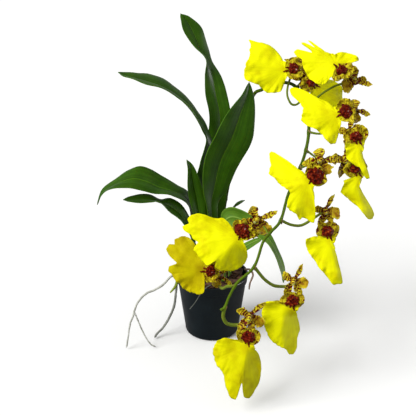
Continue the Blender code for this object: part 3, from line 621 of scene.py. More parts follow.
def huskSheet(middle, radii, low, high, first, last, seed):
    # a papery sheath: part of an oval wall round a bulb, torn along its top and curling out
    across, rows = np.linspace(0, 1, 40)[None], np.linspace(0, 1, 22)[:, None]
    turn = np.radians(first + (last - first) * across)
    peak = np.sin(math.pi * across)**0.6
    torn = 1 + 0.10 * waves(np.stack([across * 9, 0 * across], axis=-1), 1.0, seed)
    height = low + (high - low) * rows * peak * torn
    swell = 1 + 0.30 * np.sin(math.pi * np.clip(rows * 0.75, 0, 1)) * 0.5 + 0.12 * rows**3
    x, y = radii[0] * swell * np.cos(turn), radii[1] * swell * np.sin(turn)
    grid = np.stack([x + middle[0], y + middle[1], height + 0 * turn], axis=-1)
    return gridSheet(grid + 0.25 * waves(grid, 5, seed)[..., None], reach=(1.0, (high - low) / 10))


def makeHusks():
    sheets = [huskSheet(bulbs[name]["place"], radii, 61.5, top, first, last, seed)
              for seed, (name, radii, top, first, last) in enumerate(husks, 1)]
    addPiece("bulb_husks", sheets, [bractStraw], thickness=0.35)


makeBarkFill()
makeBarkChips()
for name, bulb in bulbs.items():
    makeBulb(name, bulb)
makeHusks()
print("bark and bulbs done")


# leaves; each row is the centre x, y, z, the width, and where the width points: heading and rise in degrees
leaves = {
    "leaf_tall_twisted": {"fold": 0.10, "rows": [
        (3, 12, 111, 9, 0, 0), (5, 13, 143, 18, 0, 0), (5, 16, 185, 24, 5, 0), (8, 20, 226, 22, 0, -5),
        (4, 24, 251, 22, 5, -5), (1, 27, 268, 18, 20, -10), (-3, 30, 284, 17, 68, -15),
        (-11, 33, 297, 18, 45, -10), (-19, 36, 313, 19, 20, 5), (-26, 38, 324, 10, 15, 5),
        (-31, 40, 328, 2, 10, 5)]},
    "leaf_front_broad": {"fold": 0.12, "rows": [
        (3, -9, 109, 10, 10, -5), (0, -8, 144, 13, 35, -5), (3, -8, 163, 26, 20, -5),
        (9, -10, 192, 35, 10, -10), (20, -12, 217, 38, 12, -12), (28, -10, 242, 28, 15, -15),
        (34, -6, 259, 13, 20, -20), (35, -4, 272, 2, 20, -10)]},
    "leaf_upper_left": {"fold": 0.10, "rows": [
        (-9, 7, 110, 9, 20, -10), (-8, 4, 150, 20, 15, -5), (-4, 4, 186, 20, 30, -10),
        (-3, 3, 209, 18, 70, -10), (-9, 3, 226, 24, 85, 0), (-18, 2, 243, 28, 90, -5),
        (-30, 0, 257, 30, 85, -8), (-46, -3, 269, 32, 82, -4), (-62, -6, 276, 31, 80, 0),
        (-74, -8, 279, 20, 82, 0), (-84, -8, 281, 9, 85, 5), (-89, -8, 283, 2, 85, 5)]},
    "leaf_big_left": {"fold": 0.10, "rows": [
        (-20, 7, 70, 12, 85, 0), (-19, 8, 115, 13, 80, 0), (-24, 4, 147, 18, 85, 10),
        (-38, -4, 161, 24, 78, 5), (-53, -8, 168, 28, 75, 15), (-64, -10, 174, 30, 75, 25),
        (-77, -12, 178, 30, 70, 25), (-90, -14, 176, 26, 70, 18), (-101, -16, 170, 18, 72, 15),
        (-110, -17, 162, 11, 85, 15), (-114, -18, 151, 2, 100, 20)]},
    "leaf_lower_left": {"fold": 0.12, "rows": [
        (-19, -13, 70, 10, 75, 0), (-19, -12, 112, 13, 75, 5), (-28, -9, 134, 17, 78, 22),
        (-41, -10, 147, 18, 85, 25), (-52, -13, 153, 14, 92, -8), (-61, -14, 156, 14, 98, 8),
        (-72, -16, 157, 13, 92, 18), (-82, -18, 157, 8, 92, 18), (-88, -19, 157, 2, 92, 15)]},
    "leaf_small_upright": {"fold": 0.14, "rows": [
        (-9, -9, 107, 8, 15, 0), (-13, -8, 138, 13, 15, -3), (-15, -7, 153, 16, 15, 5),
        (-18, -7, 168, 14, 15, 8), (-21, -6, 185, 7, 20, 12), (-25, -6, 194, 2, 20, 10)]},
    "leaf_right_trailing": {"fold": -0.06, "rows": [
        (18, -12, 70, 9, 70, 0), (19, -12, 106, 12, 85, 10), (11, -14, 128, 18, 110, 45),
        (20, -16, 137, 20, 120, 70), (37, -21, 132, 18, 60, 75), (51, -29, 124, 14, 65, 30),
        (59, -36, 117, 12, 60, -5), (66, -43, 103, 10, 55, -8), (70, -48, 91, 6, 50, 0),
        (70, -50, 81, 2, 45, 0)]},
    "leaf_right_small": {"fold": 0.08, "rows": [
        (19, 10, 70, 7, 80, 0), (18, 14, 115, 7, 75, 5), (22, 20, 131, 6, 75, 20),
        (28, 24, 135, 5, 80, 25), (34, 28, 136, 2, 80, 25)]},
    "leaf_low_right": {"fold": 0.08, "rows": [
        (9, -23, 68, 7, 10, 0), (15, -24, 92, 9, 50, 25), (30, -25, 106, 10, 80, 40),
        (42, -28, 115, 8, 85, 35), (50, -31, 120, 2, 85, 35)]},
    "leaf_low_left": {"fold": 0.08, "rows": [
        (-14, -23, 68, 8, 30, 0), (-16, -24, 92, 8, 40, 25), (-18, -24, 108, 7, 50, 40),
        (-26, -24, 118, 2, 60, 45)]},
}
youngLeaves = ("leaf_right_trailing", "leaf_low_right")
blade = {"thickness": 0.7, "step": 1.6, "across": 33, "groove": 0.35, "grooveWidth": 0.8, "arch": 0.035,
         "edgeWave": 0.45, "edgeLength": 31.0}


def makeLeaf(name, leaf, seed):
    # a blade between two smooth edges: the middle line plus share times the reach to the edge, sunk to a keel
    # at the midrib by the square root of share squared, each half arched by a sine, its edges gently waved
    rows = np.array(leaf["rows"], dtype=float)
    heading, rise = np.radians(rows[:, 4]), np.radians(rows[:, 5])
    across = np.stack([np.cos(rise) * np.cos(heading), np.cos(rise) * np.sin(heading), np.sin(rise)], axis=1)
    table = np.hstack([rows[:, :3], across * rows[:, 3:4] / 2])
    length = runLength(rows[:, :3])
    count = round(length / blade["step"])
    middle, reach = np.split(smoothRows(table, count), 2, axis=1)
    run = np.linspace(0, length, count)[:, None]
    reach = reach * np.clip((length - run + 0.02) / 4, 0.02, 1)**0.5
    face = unit(np.cross(reach, np.gradient(middle, axis=0)))
    half = np.linalg.norm(reach, axis=1, keepdims=True)
    share = np.linspace(-1, 1, blade["across"])[None]
    keel = np.sqrt(share**2 + 0.004) - math.sqrt(1.004)
    sink = 2 * half * leaf["fold"] * keel + 2 * half * blade["arch"] * np.sin(math.pi * np.abs(share))
    sink = sink - blade["groove"] * np.exp(-(share * half / blade["grooveWidth"])**2)
    phase = np.where(share > 0, 1.0, 2.6) + seed
    sink = sink + blade["edgeWave"] * share**2 * np.sin(2 * math.pi * run / blade["edgeLength"] + phase) \
        * np.clip(half / 6, 0, 1)
    grid = middle[:, None] + share[..., None] * reach[:, None] + sink[..., None] * face[:, None]
    loose = (np.abs(share) * half / 10)[..., None]
    grid = grid + 0.25 * waves(grid, 17, seed)[..., None] * face[:, None] * loose
    skin, slot = (youngLeaf, "young_leaf") if name in youngLeaves else (oldLeaf, "leaf")
    addPiece(name + "_blade", [gridSheet(grid, reach=(1.0, length / 10))], [skin], [name],
             thickness=blade["thickness"])


for seed, (name, leaf) in enumerate(leaves.items()):
    makeLeaf(name, leaf, seed)
print("leaves done")


# flowers
# crest is the middle of the lip's maroon crest, lip the way the lip points, and fold how steeply its left and
# right halves fall back from the midline. star is the middle of the five tepals and size their scale. edge is
# the outline of the lip about its waist, as degrees from the way it points and millimetres. Some flowers also
# have callus, a scale for the crest; broad, a scale for the tepals' width; slide, a shift of the star;
# turns, degrees added to the five tepals; slip, a sideways shift of the lower lip; ridge, one of its midline.
frontFace = (-0.02, -0.92, 0.40)
flowers = {
    1: {"crest": (74, -30, 292), "lip": (-1.0, -0.12, 0.0), "fold": (0.25, 0.18), "star": (79, -23, 293),
        "size": 0.75, "callus": 0.85,
        "edge": [(-84, 8), (-72, 19), (-60, 28), (-52, 33), (-47, 38), (-45, 44), (-42, 39), (-36, 37),
                 (-24, 33), (-12, 36), (0, 37), (12, 37), (18, 34), (27, 28), (38, 26), (50, 26), (64, 23),
                 (78, 21), (88, 11)]},
    2: {"crest": (114, -62, 299), "lip": (-0.56, 0.36, 0.74), "fold": (0.35, 0.25), "star": (128, -54, 287),
        "size": 0.8, "callus": 0.8, "broad": 1.3, "turns": (-75, 0, 0, 0, 0),
        "edge": [(-118, 19), (-105, 18), (-88, 15), (-66, 12), (-44, 10), (-24, 8), (0, 11), (9, 14),
                 (12, 20), (13, 32), (16, 33), (17, 23), (19, 24), (20, 34), (24, 37), (25, 26), (30, 23),
                 (32, 37), (38, 39), (43, 35), (46, 31), (59, 29), (78, 27), (105, 25), (116, 22),
                 (123, 14)]},
    3: {"crest": (117, -78, 267), "lip": (-0.94, -0.14, -0.31), "fold": (0.3, 0.2), "star": (130, -72, 268),
        "size": 0.76, "broad": 1.35, "slide": (-4, 0, -2),
        "edge": [(-84, 7), (-62, 20), (-58, 38), (-54, 45), (-50, 47), (-45, 42), (-38, 33), (-30, 30),
                 (-12, 31), (0, 28), (17, 22), (33, 22), (49, 24), (60, 27), (68, 26), (80, 13)]},
    4: {"crest": (90, -36, 281), "lip": (0.73, -0.1, -0.66), "fold": (0.25, 0.25), "star": (85, -30, 285),
        "size": 0.62, "callus": 0.75,
        "edge": [(-90, 10), (-62, 22), (-32, 28), (0, 28), (14, 29), (30, 26), (45, 24), (62, 19), (88, 10)]},
    5: {"crest": (125, -94, 249), "lip": (0.36, -0.34, -0.86), "fold": (0.8, 0.8), "star": (120, -87, 251),
        "size": 0.75, "callus": 0.85, "broad": 1.3, "slip": -3.0,
        "edge": [(-116, 12), (-68, 12), (-40, 14), (-25, 16), (-9, 19), (-6, 25), (-1, 31), (4, 31),
                 (6, 23), (9, 14), (25, 8), (70, 5)]},
    6: {"crest": (127, -92, 218), "lip": (0.37, -0.3, -0.88), "fold": (0.5, 1.3), "star": (118, -84, 224),
        "size": 0.95, "callus": 0.85, "broad": 1.2, "slip": -6.0,
        "edge": [(-97, 14), (-80, 14), (-34, 17), (-10, 24), (-3, 32), (1, 39), (7, 42), (13, 39), (15, 30),
                 (17, 15), (25, 8), (60, 5)]},
    7: {"crest": (90, -104, 216), "lip": (-0.8, -0.28, -0.53), "fold": (0.4, 0.22), "star": (95, -96, 227),
        "size": 0.9, "callus": 1.3, "broad": 1.35,
        "edge": [(-90, 12), (-84, 20), (-82, 30), (-80, 41), (-75, 41), (-63, 36), (-48, 34), (-43, 28),
                 (-30, 24), (-20, 21), (-10, 18), (-2, 19), (5, 22), (14, 29), (27, 30), (36, 31), (43, 35),
                 (46, 32), (51, 33), (57, 36), (63, 38), (67, 31), (72, 18), (84, 9)]},
    8: {"crest": (103, -108, 164), "lip": (0.17, -0.39, -0.9), "fold": (0.3, 1.3), "star": (98, -101, 182),
        "size": 0.85, "slide": (3, 0, -1), "callus": 0.9,
        "edge": [(-118, 10), (-107, 17), (-102, 21), (-85, 21), (-62, 21), (-39, 23), (-24, 28), (-13, 33),
                 (-4, 40), (3, 41), (9, 41), (11, 31), (14, 20), (20, 11), (40, 5)]},
    9: {"crest": (72, -124, 102), "lip": (-0.05, -0.36, -0.93), "fold": (0.25, 1.05),
        "star": (67, -119, 121), "size": 0.9, "slide": (6, 0, -1), "ridge": -9.0,
        "edge": [(-111, 20), (-106, 24), (-95, 26), (-82, 27), (-66, 28), (-50, 30), (-40, 32), (-27, 34),
                 (-14, 36), (-3, 39), (1, 44), (6, 44), (9, 41), (12, 38), (14, 30), (19, 26), (24, 24),
                 (30, 17), (36, 11), (60, 5)]},
    10: {"crest": (32, -142, 75), "lip": (-0.19, -0.36, -0.91), "fold": (0.25, 1.0), "star": (33, -138, 94),
         "size": 1.0,
         "edge": [(-104, 12), (-98, 20), (-86, 27), (-71, 30), (-50, 33), (-36, 33), (-27, 34), (-14, 43),
                  (-4, 53), (1, 52), (3, 35), (5, 35), (8, 49), (14, 52), (26, 42), (38, 30), (50, 20),
                  (70, 9)]},
    11: {"crest": (27, -106, 164), "lip": (-0.64, -0.31, -0.7), "fold": (0.15, 0.95),
         "star": (40, -98, 171), "size": 1.05, "callus": 1.25, "broad": 1.1,
         "edge": [(-108, 16), (-104, 21), (-94, 24), (-88, 28), (-85, 35), (-81, 42), (-76, 46), (-70, 47),
                  (-66, 44), (-61, 51), (-57, 49), (-53, 42), (-47, 40), (-42, 35), (-36, 40), (-28, 39),
                  (-17, 38), (-6, 37), (-3, 29), (0, 29), (3, 33), (14, 34), (26, 32), (40, 30), (54, 26),
                  (68, 21), (78, 14), (88, 8)]},
    12: {"crest": (-2, -102, 121), "lip": (-0.97, 0.05, 0.15), "fold": (0.25, 0.3), "star": (7, -95, 113),
         "size": 0.8, "callus": 0.85,
         "edge": [(-84, 14), (-66, 24), (-58, 31), (-50, 35), (-38, 38), (-33, 34), (-28, 38), (-20, 38),
                  (-13, 32), (-6, 24), (-2, 25), (4, 30), (11, 31), (22, 28), (36, 26), (43, 24), (57, 25),
                  (74, 24), (94, 24), (104, 21), (113, 9)]},
}
# curl, ripple, frill, roll, cup, crumple and soft are how far each lifts the petal; head is the outline of
# the side lobes round the crest, on from where a flower's own edge stops
lip = {"thickness": 0.55, "rings": 28, "spokes": 300, "waistDrop": 8.0, "ridge": 4.0, "headFold": 0.2,
       "curl": 5.0, "ripple": 1.2, "rippleWaves": 9, "pleat": 0.04, "frill": 1.0, "roll": 0.7, "cup": 4.0,
       "crumple": 1.7, "soft": 1.8,
       "head": [(104, 6.5), (113, 9.5), (124, 13), (136, 15.5), (150, 16.5), (163, 16.5), (174, 16),
                (180, 15.2)]}
# flowers 10 and 12 take the darker lip copies: painted shade, not an older flower
lipSkins = {10: lipHalfShade, 12: lipDeepShade}
callus = {"radii": (6.0, 2.6, 5.2), "forward": 1.8, "lumps": 0.24, "wrinkle": 0.05, "knobs": 11,
          "knob": 1.25, "teeth": ((1.7, -6.2, 1.0), (-1.4, -5.6, 0.8), (2.3, -8.4, 0.6))}
# each tepal: degrees from the way up, length, half width, where it is widest, how blunt its tip is, material
tepals = {"thickness": 0.5, "rows": 34, "across": 17, "neck": 0.5, "twist": 0.8, "ripple": 0.22,
          "ragged": 0.2, "crinkle": 0.7, "dorsal": (32, 16.0, 2.3, 0.66, 0.9, 0),
          "leftPetal": (-66, 10.0, 3.6, 0.66, 0.5, 0), "rightPetal": (106, 12.5, 5.4, 0.68, 0.36, 1),
          "leftSepal": (-152, 15.0, 3.4, 0.55, 0.7, 0), "rightSepal": (154, 14.0, 3.2, 0.55, 0.7, 0)}
# the column's post, cap and wings on the flower's own side, back and up
column = {"post": [(0, 0.6, 1.5), (0, -1.6, 0.6), (0, -3.4, -1.2), (0, -4.6, -3.6)],
          "radii": ((0, 3.1), (0.5, 2.5), (1, 1.8)), "cap": ((0, -4.9, -3.2), (1.5, 1.2, 1.4)),
          "wing": ((1.9, -3.9, -2.2), (1.3, 0.5, 1.7))}


def flowerAxes(flower):
    # rows are the flower's side, back and up, where up is against the way the lip points
    up = -unit(flower["lip"])
    back = unit(up * (up @ np.array(frontFace)) - np.array(frontFace))
    return np.stack([np.cross(back, up), back, up])


def starPlace(flower):
    # where the five tepals meet
    return np.array(flower["star"], dtype=float) + np.array(flower.get("slide", (0, 0, 0)), dtype=float)


def lipOutline(number, flower, turn):
    # the edge read between its points, rounded by a moving average, with small irregular scallops
    edge = flower["edge"]
    right = [pair for pair in lip["head"] if pair[0] > edge[-1][0] + 4]
    left = [(-angle, radius) for angle, radius in reversed(lip["head"][:-1]) if -angle < edge[0][0] - 4]
    angles, radii = np.array(left + edge + right, dtype=float).T
    fine = np.radians(np.arange(-180, 180, 0.5))
    radius = np.interp(fine, np.radians(angles), radii, period=2 * math.pi)
    window = np.hanning(7) / np.hanning(7).sum()
    radius = np.convolve(np.concatenate([radius[-3:], radius, radius[:3]]), window, mode="valid")
    radius = np.interp(turn, fine, radius, period=2 * math.pi)
    ring = np.stack([np.cos(turn), np.sin(turn)], axis=-1) * 10
    scallop = 0.020 * waves(ring, 4.5, number) + 0.016 * waves(ring, 1.5, number + 20)
    lobes = 0.085 * waves(ring, 5.0, number + 60) * np.clip(np.abs(turn) - 1.75, 0, 0.3) / 0.3
    return radius * (1 + scallop * np.clip(radius / 15 - 0.5, 0, 1) + lobes)


def makeLip(number, flower):
    # rings from the waist out to the edge; behind each point the petal falls back from its midline by a
    # rounded fold, curls back at its far edge, ripples at the rim, and is pleated like a fan
    turn = np.linspace(-math.pi, math.pi, lip["spokes"], endpoint=False)[None]
    share = (np.arange(1, lip["rings"] + 1) / lip["rings"])[:, None]
    outline = lipOutline(number, flower, turn[0])[None]
    x, z = share * outline * np.sin(turn), -share * outline * np.cos(turn)
    off = x - flower.get("ridge", 0.0)
    fold = np.where(off > 0, flower["fold"][1], flower["fold"][0])
    below = np.clip(lip["headFold"] - z / lip["waistDrop"], lip["headFold"], 1)
    fall = (np.sqrt(off**2 + lip["ridge"]**2) - lip["ridge"]) * below
    wide = np.clip(outline / 26, 0, 1)
    ring = np.stack([np.cos(turn), np.sin(turn)], axis=-1) * 10
    y = fold * fall + lip["curl"] * (np.maximum(-z, 0) / 45)**2
    y = y + lip["ripple"] * share**3 * np.sin(lip["rippleWaves"] * turn + number)
    y = y + lip["frill"] * share**6 * waves(ring, 3.2, 40 + number) * wide * 1.6
    pleats = np.sin(46 * turn + 2.5 * waves(ring, 14, number))
    y = y + lip["pleat"] * np.clip(share * 1.6 - 0.5, 0, 1) * pleats * wide
    flat = np.stack([x, z], axis=-1)
    y = y + lip["soft"] * share * (waves(flat, 26, 70 + number) + 0.35 * waves(flat, 11, 90 + number))
    y = y + lip["roll"] * share**10 * wide
    head = np.clip(z / 6, 0, 1)
    y = y - lip["cup"] * head * share**2 * np.clip(np.abs(x) / 8 + 0.35, 0, 1)
    crumple = waves(flat, 7, 110 + number) + 0.4 * waves(flat, 2.6, 130 + number)
    y = y + lip["crumple"] * head * share**1.5 * crumple
    y = y + 0.35 * lip["crumple"] * share**4 * (1 - head) * waves(flat, 5, 150 + number)
    y = y - np.min(y[0])
    x = x + flower.get("slip", 0.0) * np.clip(-z / 8, 0, 1)
    frameAxes = flowerAxes(flower)
    waist = np.array(flower["crest"]) - lip["waistDrop"] * frameAxes[2]
    grid = waist + np.stack([x, y, z], axis=-1) @ frameAxes
    degrees, edge = np.degrees(turn), flower["edge"]
    beyond = np.maximum(edge[0][0] - degrees, degrees - edge[-1][0])
    mark = np.clip((z - 0.5 + 1.2 * waves(flat, 4, 170 + number)) / 3, 0, 1) * np.clip(beyond / 8, 0, 1)
    sheet = gridSheet(grid, wrap=True, poles=(waist, None), mark=mark)
    addPiece(f"flower_{number:02d}_lip", [sheet], [lipSkins.get(number, lipFresh)],
             [f"flower_lip_{number:02d}"], thickness=lip["thickness"])


def makeCallus(number, flower):
    # a low lobed cushion on the crest, ridged by two random fields, with fleshy knobs and ridges over it and
    # three teeth that run down onto the lip
    frameAxes = flowerAxes(flower)
    crest = np.array(flower["crest"], dtype=float)
    place = lambda x, y, z: crest + np.array([x, y, z]) @ frameAxes
    radii = np.array(callus["radii"]) * flower.get("callus", 1.0)
    heart = place(0, -callus["forward"], 0)
    dome = blobSheet(heart, frameAxes, radii, callus["lumps"], 4.2, number, (40, 64))
    local = (dome["points"] - heart) @ frameAxes.T
    wrinkled = local * (1 + callus["wrinkle"] * waves(local, 1.8, number + 30))[..., None]
    dome["points"] = heart + wrinkled @ frameAxes
    # spot is a painted highlight: a pale fleck on the upper right of the crest's front, put in the same place
    # on every flower
    spot = np.exp(-((local[:, 0] - 1.2)**2 + (local[:, 2] - 2.0)**2) / 0.35) * (local[:, 1] < -1)
    dome["mark"] = np.clip(1.2 * spot, 0, 1)
    sheets = [dome]
    random = np.random.default_rng(number)
    for knob in range(callus["knobs"]):
        angle = knob * 2 * math.pi / callus["knobs"] + random.uniform(-0.35, 0.35)
        spread = random.uniform(0.35, 0.85)
        out = -callus["forward"] - radii[1] * (1 - spread**2)**0.5 * 0.9
        middle = place(spread * radii[0] * math.sin(angle), out, spread * radii[2] * math.cos(angle))
        size = random.uniform(0.7, 1.5, 3) * callus["knob"] * flower.get("callus", 1.0)
        sheets.append(blobSheet(middle, frameAxes, size, 0.22, 2.0, number + knob, (10, 16)))
    for side, drop, size in callus["teeth"]:
        sheets.append(blobSheet(place(side, -0.6, drop), frameAxes, (1.0 * size, 0.7 * size, 1.9 * size),
                                0.2, 2.5, number, (8, 14)))
    addPiece(f"flower_{number:02d}_callus", sheets, [callusMaroon], closed=True)


def tepalSheet(middle, frameAxes, angle, length, halfWidth, widest, tip, number, material):
    # a petal from the middle of the flower: its half width rises from a neck by a smooth step to its widest
    # place and closes by a power, blunt or pointed; it is cupped, crinkled by two random fields, twisted
    # along its length and bent to one side
    v = np.linspace(0, 1, tepals["rows"])[:, None]
    s = np.linspace(-1, 1, tepals["across"])[None]
    t = np.clip(v / widest, 0, 1)
    rise = tepals["neck"] + (1 - tepals["neck"]) * t * t * (3 - 2 * t)
    q = np.clip(v - widest, 0, 1) / (1 - widest + 0.003)
    width = halfWidth * rise * np.clip(1 - q**2, 0, 1)**tip
    a, phase = math.radians(angle), number * 2.1 + angle
    run = v * length
    cell = np.stack([run + 0 * s, s * halfWidth + 0 * v], axis=-1)
    seed = int(abs(angle)) + 7 * number
    rough, fine = waves(cell, 6.0, seed), waves(cell, 2.4, seed + 1)
    width = width * (1 + tepals["ragged"] * (rough + 0.6 * fine) * np.abs(s))
    twist = tepals["twist"] * v**1.2 * math.sin(phase)
    along, side = 1.0 + run * (1 + 0.05 * rough * np.abs(s)), s * width * np.cos(twist)
    bend = 0.13 * length * math.sin(1.7 * phase) * v**2
    x = along * math.sin(a) + (side + bend) * math.cos(a)
    z = along * math.cos(a) - (side + bend) * math.sin(a)
    y = s * width * np.sin(twist) + 0.16 * length * v**2 * math.sin(phase * 0.7) - 0.30 * width * s**2
    y = y + tepals["ripple"] * halfWidth * s**2 * np.sin(11 * v + phase + s)
    y = y + tepals["crinkle"] * v * (rough + 0.5 * fine)
    grid = np.asarray(middle, dtype=float) + np.stack([x, y + 0 * x, z], axis=-1) @ frameAxes
    return gridSheet(grid, material=material)


def makeTepals(number, flower):
    # three sepals and two petals round the middle of the flower
    frameAxes, size = flowerAxes(flower), flower["size"] * 1.12
    middle = starPlace(flower)
    turns = flower.get("turns", (0, 0, 0, 0, 0))
    sheets = []
    for part, name in enumerate(("dorsal", "leftPetal", "rightPetal", "leftSepal", "rightSepal")):
        angle, length, halfWidth, widest, tip, material = tepals[name]
        lift = frameAxes[1] * (1.6 if "Sepal" in name else 0.4 * (part - 1))
        halfWidth = halfWidth * flower.get("broad", 1.0)
        sheets.append(tepalSheet(middle + lift, frameAxes, angle + turns[part], length * size,
                                 halfWidth * size, widest, tip, number, material))
    addPiece(f"flower_{number:02d}_tepals", sheets, [tepalBarred, tepalGold],
             [f"flower_star_{number:02d}"], thickness=tepals["thickness"])


def makeColumn(number, flower):
    # the column stands forward from the middle of the star: a short tapered post with a pale anther cap, two
    # small wings and a swollen foot
    frameAxes, size = flowerAxes(flower), flower["size"] * 0.95
    star = starPlace(flower)
    place = lambda x, y, z: star + (np.array([x, y, z]) * size) @ frameAxes
    post = tubeSheet([place(*point) for point in column["post"]],
                     [(share, radius * size) for share, radius in column["radii"]], 16, 0.5, 0.25, number)
    middle, radii = column["cap"]
    cap = blobSheet(place(*middle), frameAxes, np.array(radii) * size, 0.06, 2.0, number, (9, 16), 1)
    (x, y, z), radii = column["wing"]
    wings = [blobSheet(place(side * x, y, z), frameAxes, np.array(radii) * size, 0.2, 2.0, number + 3,
                       (8, 14)) for side in (-1, 1)]
    addPiece(f"flower_{number:02d}_column", [post, cap] + wings, [tepalBarred, columnPale],
             closed=True)


for number, flower in flowers.items():
    makeLip(number, flower)
    makeCallus(number, flower)
    makeTepals(number, flower)
    makeColumn(number, flower)
print("flowers done")


# spike
stemRoute = [(10, 22, 64), (11, 21, 116), (18, 23, 164), (29, 20, 212), (39, 10, 253), (48, 2, 263),
             (59, -6, 271), (73, -19, 275), (82, -32, 269), (87, -44, 257), (88, -55, 241), (85, -66, 226),
             (79, -78, 213), (68, -92, 193), (61, -104, 173), (52, -110, 164), (45, -114, 156),
             (37, -123, 136), (22, -129, 123), (15, -132, 111), (11, -134, 101), (7, -136, 99)]

# where each flower's stalk leaves the stem, and the points it bends through on its way to the flower
stalks = {
    1: ((83, -33, 267), [(79, -37, 261), (73, -39, 261), (69, -38, 268), (69, -34, 275), (73, -22, 283)]),
    2: ((87, -43, 258), [(96, -46, 270), (103, -52, 278), (114, -53, 284)]),
    3: ((88, -49, 250), [(99, -52, 256), (115, -58, 262)]),
    4: ((78, -25, 273), [(82, -23, 277)]),
    5: ((88, -56, 240), [(96, -61, 240), (110, -72, 245)]),
    6: ((85, -66, 226), [(96, -69, 219), (108, -75, 218)]),
    7: ((79, -78, 213), [(88, -81, 218)]),
    8: ((61, -104, 173), [(71, -101, 167), (81, -97, 165), (91, -94, 170)]),
    9: ((37, -123, 136), [(46, -121, 123), (55, -117, 114), (64, -112, 110), (70, -112, 111)]),
    10: ((11, -134, 101), [(9.5, -134, 91), (13, -133, 83.5), (21, -131, 80.5), (28, -131, 82.5)]),
    11: ((50, -111, 161), [(47, -101, 164)]),
    12: ((20, -130, 120), [(13.5, -121, 115), (8.5, -106, 105), (5, -91, 103)]),
}
# stout scales the stalks that are thicker than the rest
spike = {"baseRadius": 1.95, "tipRadius": 1.2, "nodeSwell": 0.35, "stalkRadius": 1.0, "ovaryRadius": 1.45,
         "arrival": 6.0, "bract": 5.0, "stout": {8: 1.3, 9: 1.5, 10: 1.7, 12: 1.4},
         "joints": [(10.7, 21.3, 92), (14, 22.2, 140), (24, 21.8, 190), (36, 13, 243)]}


def makeStem():
    # the spike: a tube that swells a little at each joint
    path = smoothRows(stemRoute, 300)
    share = np.linspace(0, 1, len(path))
    radius = spike["baseRadius"] + (spike["tipRadius"] - spike["baseRadius"]) * share
    for joint in spike["joints"] + [start for start, _ in stalks.values()]:
        gap = np.linalg.norm(path - np.array(joint, dtype=float), axis=1)
        radius = radius + spike["nodeSwell"] * np.exp(-((gap - gap.min()) / 2.2)**2)
    sheet = tubeSheet(stemRoute, list(zip(share, radius)), 18, 1.0, 0.05, 3)
    addPiece("spike_stem", [sheet], [stemGreen], ["flower_stem"], closed=True)


def makeStalk(number, start, bends):
    # a flower's stalk starts inside the stem and swells into the ovary behind the star
    flower = flowers[number]
    frameAxes = flowerAxes(flower)
    star = starPlace(flower)
    end = star + 0.9 * frameAxes[1]
    route = [start] + bends + [star + spike["arrival"] * frameAxes[1], end]
    long = runLength(route)
    radius = spike["stalkRadius"] * spike["stout"].get(number, 1.0)
    radii = [(0, max(1.25, radius)), (min(0.3, 3 / long), radius), (1 - min(0.5, 9 / long), radius),
             (1 - min(0.3, 4 / long), max(radius, spike["ovaryRadius"])), (1, 1.1)]
    sheet = tubeSheet(route, radii, 14, 0.9, 0.05, number)
    addPiece(f"flower_{number:02d}_stalk", [sheet], [stalkGreen], [f"pedicel_{number:02d}"],
             closed=True)


def bractSheet(root, stemWay, outWay, size):
    # a pointed scale clasping the stem: width closes to its tip by a power, and its edges wrap round
    v, s = np.linspace(0, 1, 12)[:, None], np.linspace(-1, 1, 9)[None]
    side = np.cross(stemWay, outWay)
    wrap = s * 1.9 * (1 - v)**0.7
    radius = 1.55 + 1.3 * v**1.5
    grid = np.array(root, dtype=float) + (v * size)[..., None] * stemWay \
        + (radius * np.cos(wrap))[..., None] * outWay + (radius * np.sin(wrap))[..., None] * side
    return gridSheet(grid, reach=(1.0, 0.5))


def makeBracts():
    # a scale at each joint, large on the bare stem, and small where a stalk leaves it
    path = smoothRows(stemRoute, 300)
    sheets = []
    for number, joint in enumerate(spike["joints"] + [start for start, _ in stalks.values()]):
        nearest = np.linalg.norm(path - np.array(joint, dtype=float), axis=1).argmin()
        k = int(np.clip(nearest, 1, len(path) - 2))
        way = unit(path[k + 1] - path[k - 1])
        turn = np.array([math.cos(number * 2.4), math.sin(number * 2.4), 0.3])
        bare = number < len(spike["joints"])
        if not bare:
            turn = np.array(stalks[number - len(spike["joints"]) + 1][1][0], dtype=float) - path[k]
        out = unit(turn - way * (turn @ way))
        sheets.append(bractSheet(path[k] - way * 1.5, way, out, spike["bract"] * (1.3 if bare else 0.8)))
    addPiece("spike_bracts", sheets, [bractStraw], thickness=0.25)


makeStem()
for number, (start, bends) in stalks.items():
    makeStalk(number, start, bends)
makeBracts()
print("spike done")


# roots; each has its radius at its start and end, before it is thinned, and its route
roots = {
    "root_long": (1.7, 1.0, [(-37, -17, 73), (-43, -21, 72), (-50, -26, 66), (-59, -30, 62), (-67, -32, 59),
                             (-76, -34, 49), (-81, -36, 34), (-84, -38, 26), (-86, -41, 13), (-88, -43, 2)]),
    "root_branch": (1.1, 0.9, [(-80, -35.4, 41), (-77.5, -35.8, 35), (-75, -36.4, 28), (-72, -37, 20),
                               (-68, -39, 12), (-63, -41, 5), (-58, -41, 2)]),
    "root_hook": (1.7, 1.6, [(-37, 0, 54), (-38, -3, 43), (-40, -7, 30), (-45, -11, 19), (-51, -15, 10),
                             (-57.5, -19, 4.5), (-60, -23, 2)]),
    "root_over_rim": (0.75, 0.6, [(8, -29, 66), (0, -33, 70), (-9, -40, 67), (-17, -37, 52), (-23, -34, 42)]),
    "root_right": (1.5, 1.2, [(34, 2, 69), (39, -6, 73), (42, -12, 70), (39, -14, 62), (38, -16, 55)]),
    "new_shoot": (2.6, 1.0, [(-30, -14, 69), (-34, -20, 72), (-37, -24, 64), (-43, -27, 57)]),
}
rootThin = 0.75
rootSkins = {"root_right": rootBrown, "root_over_rim": rootWet, "root_hook": rootDamp}


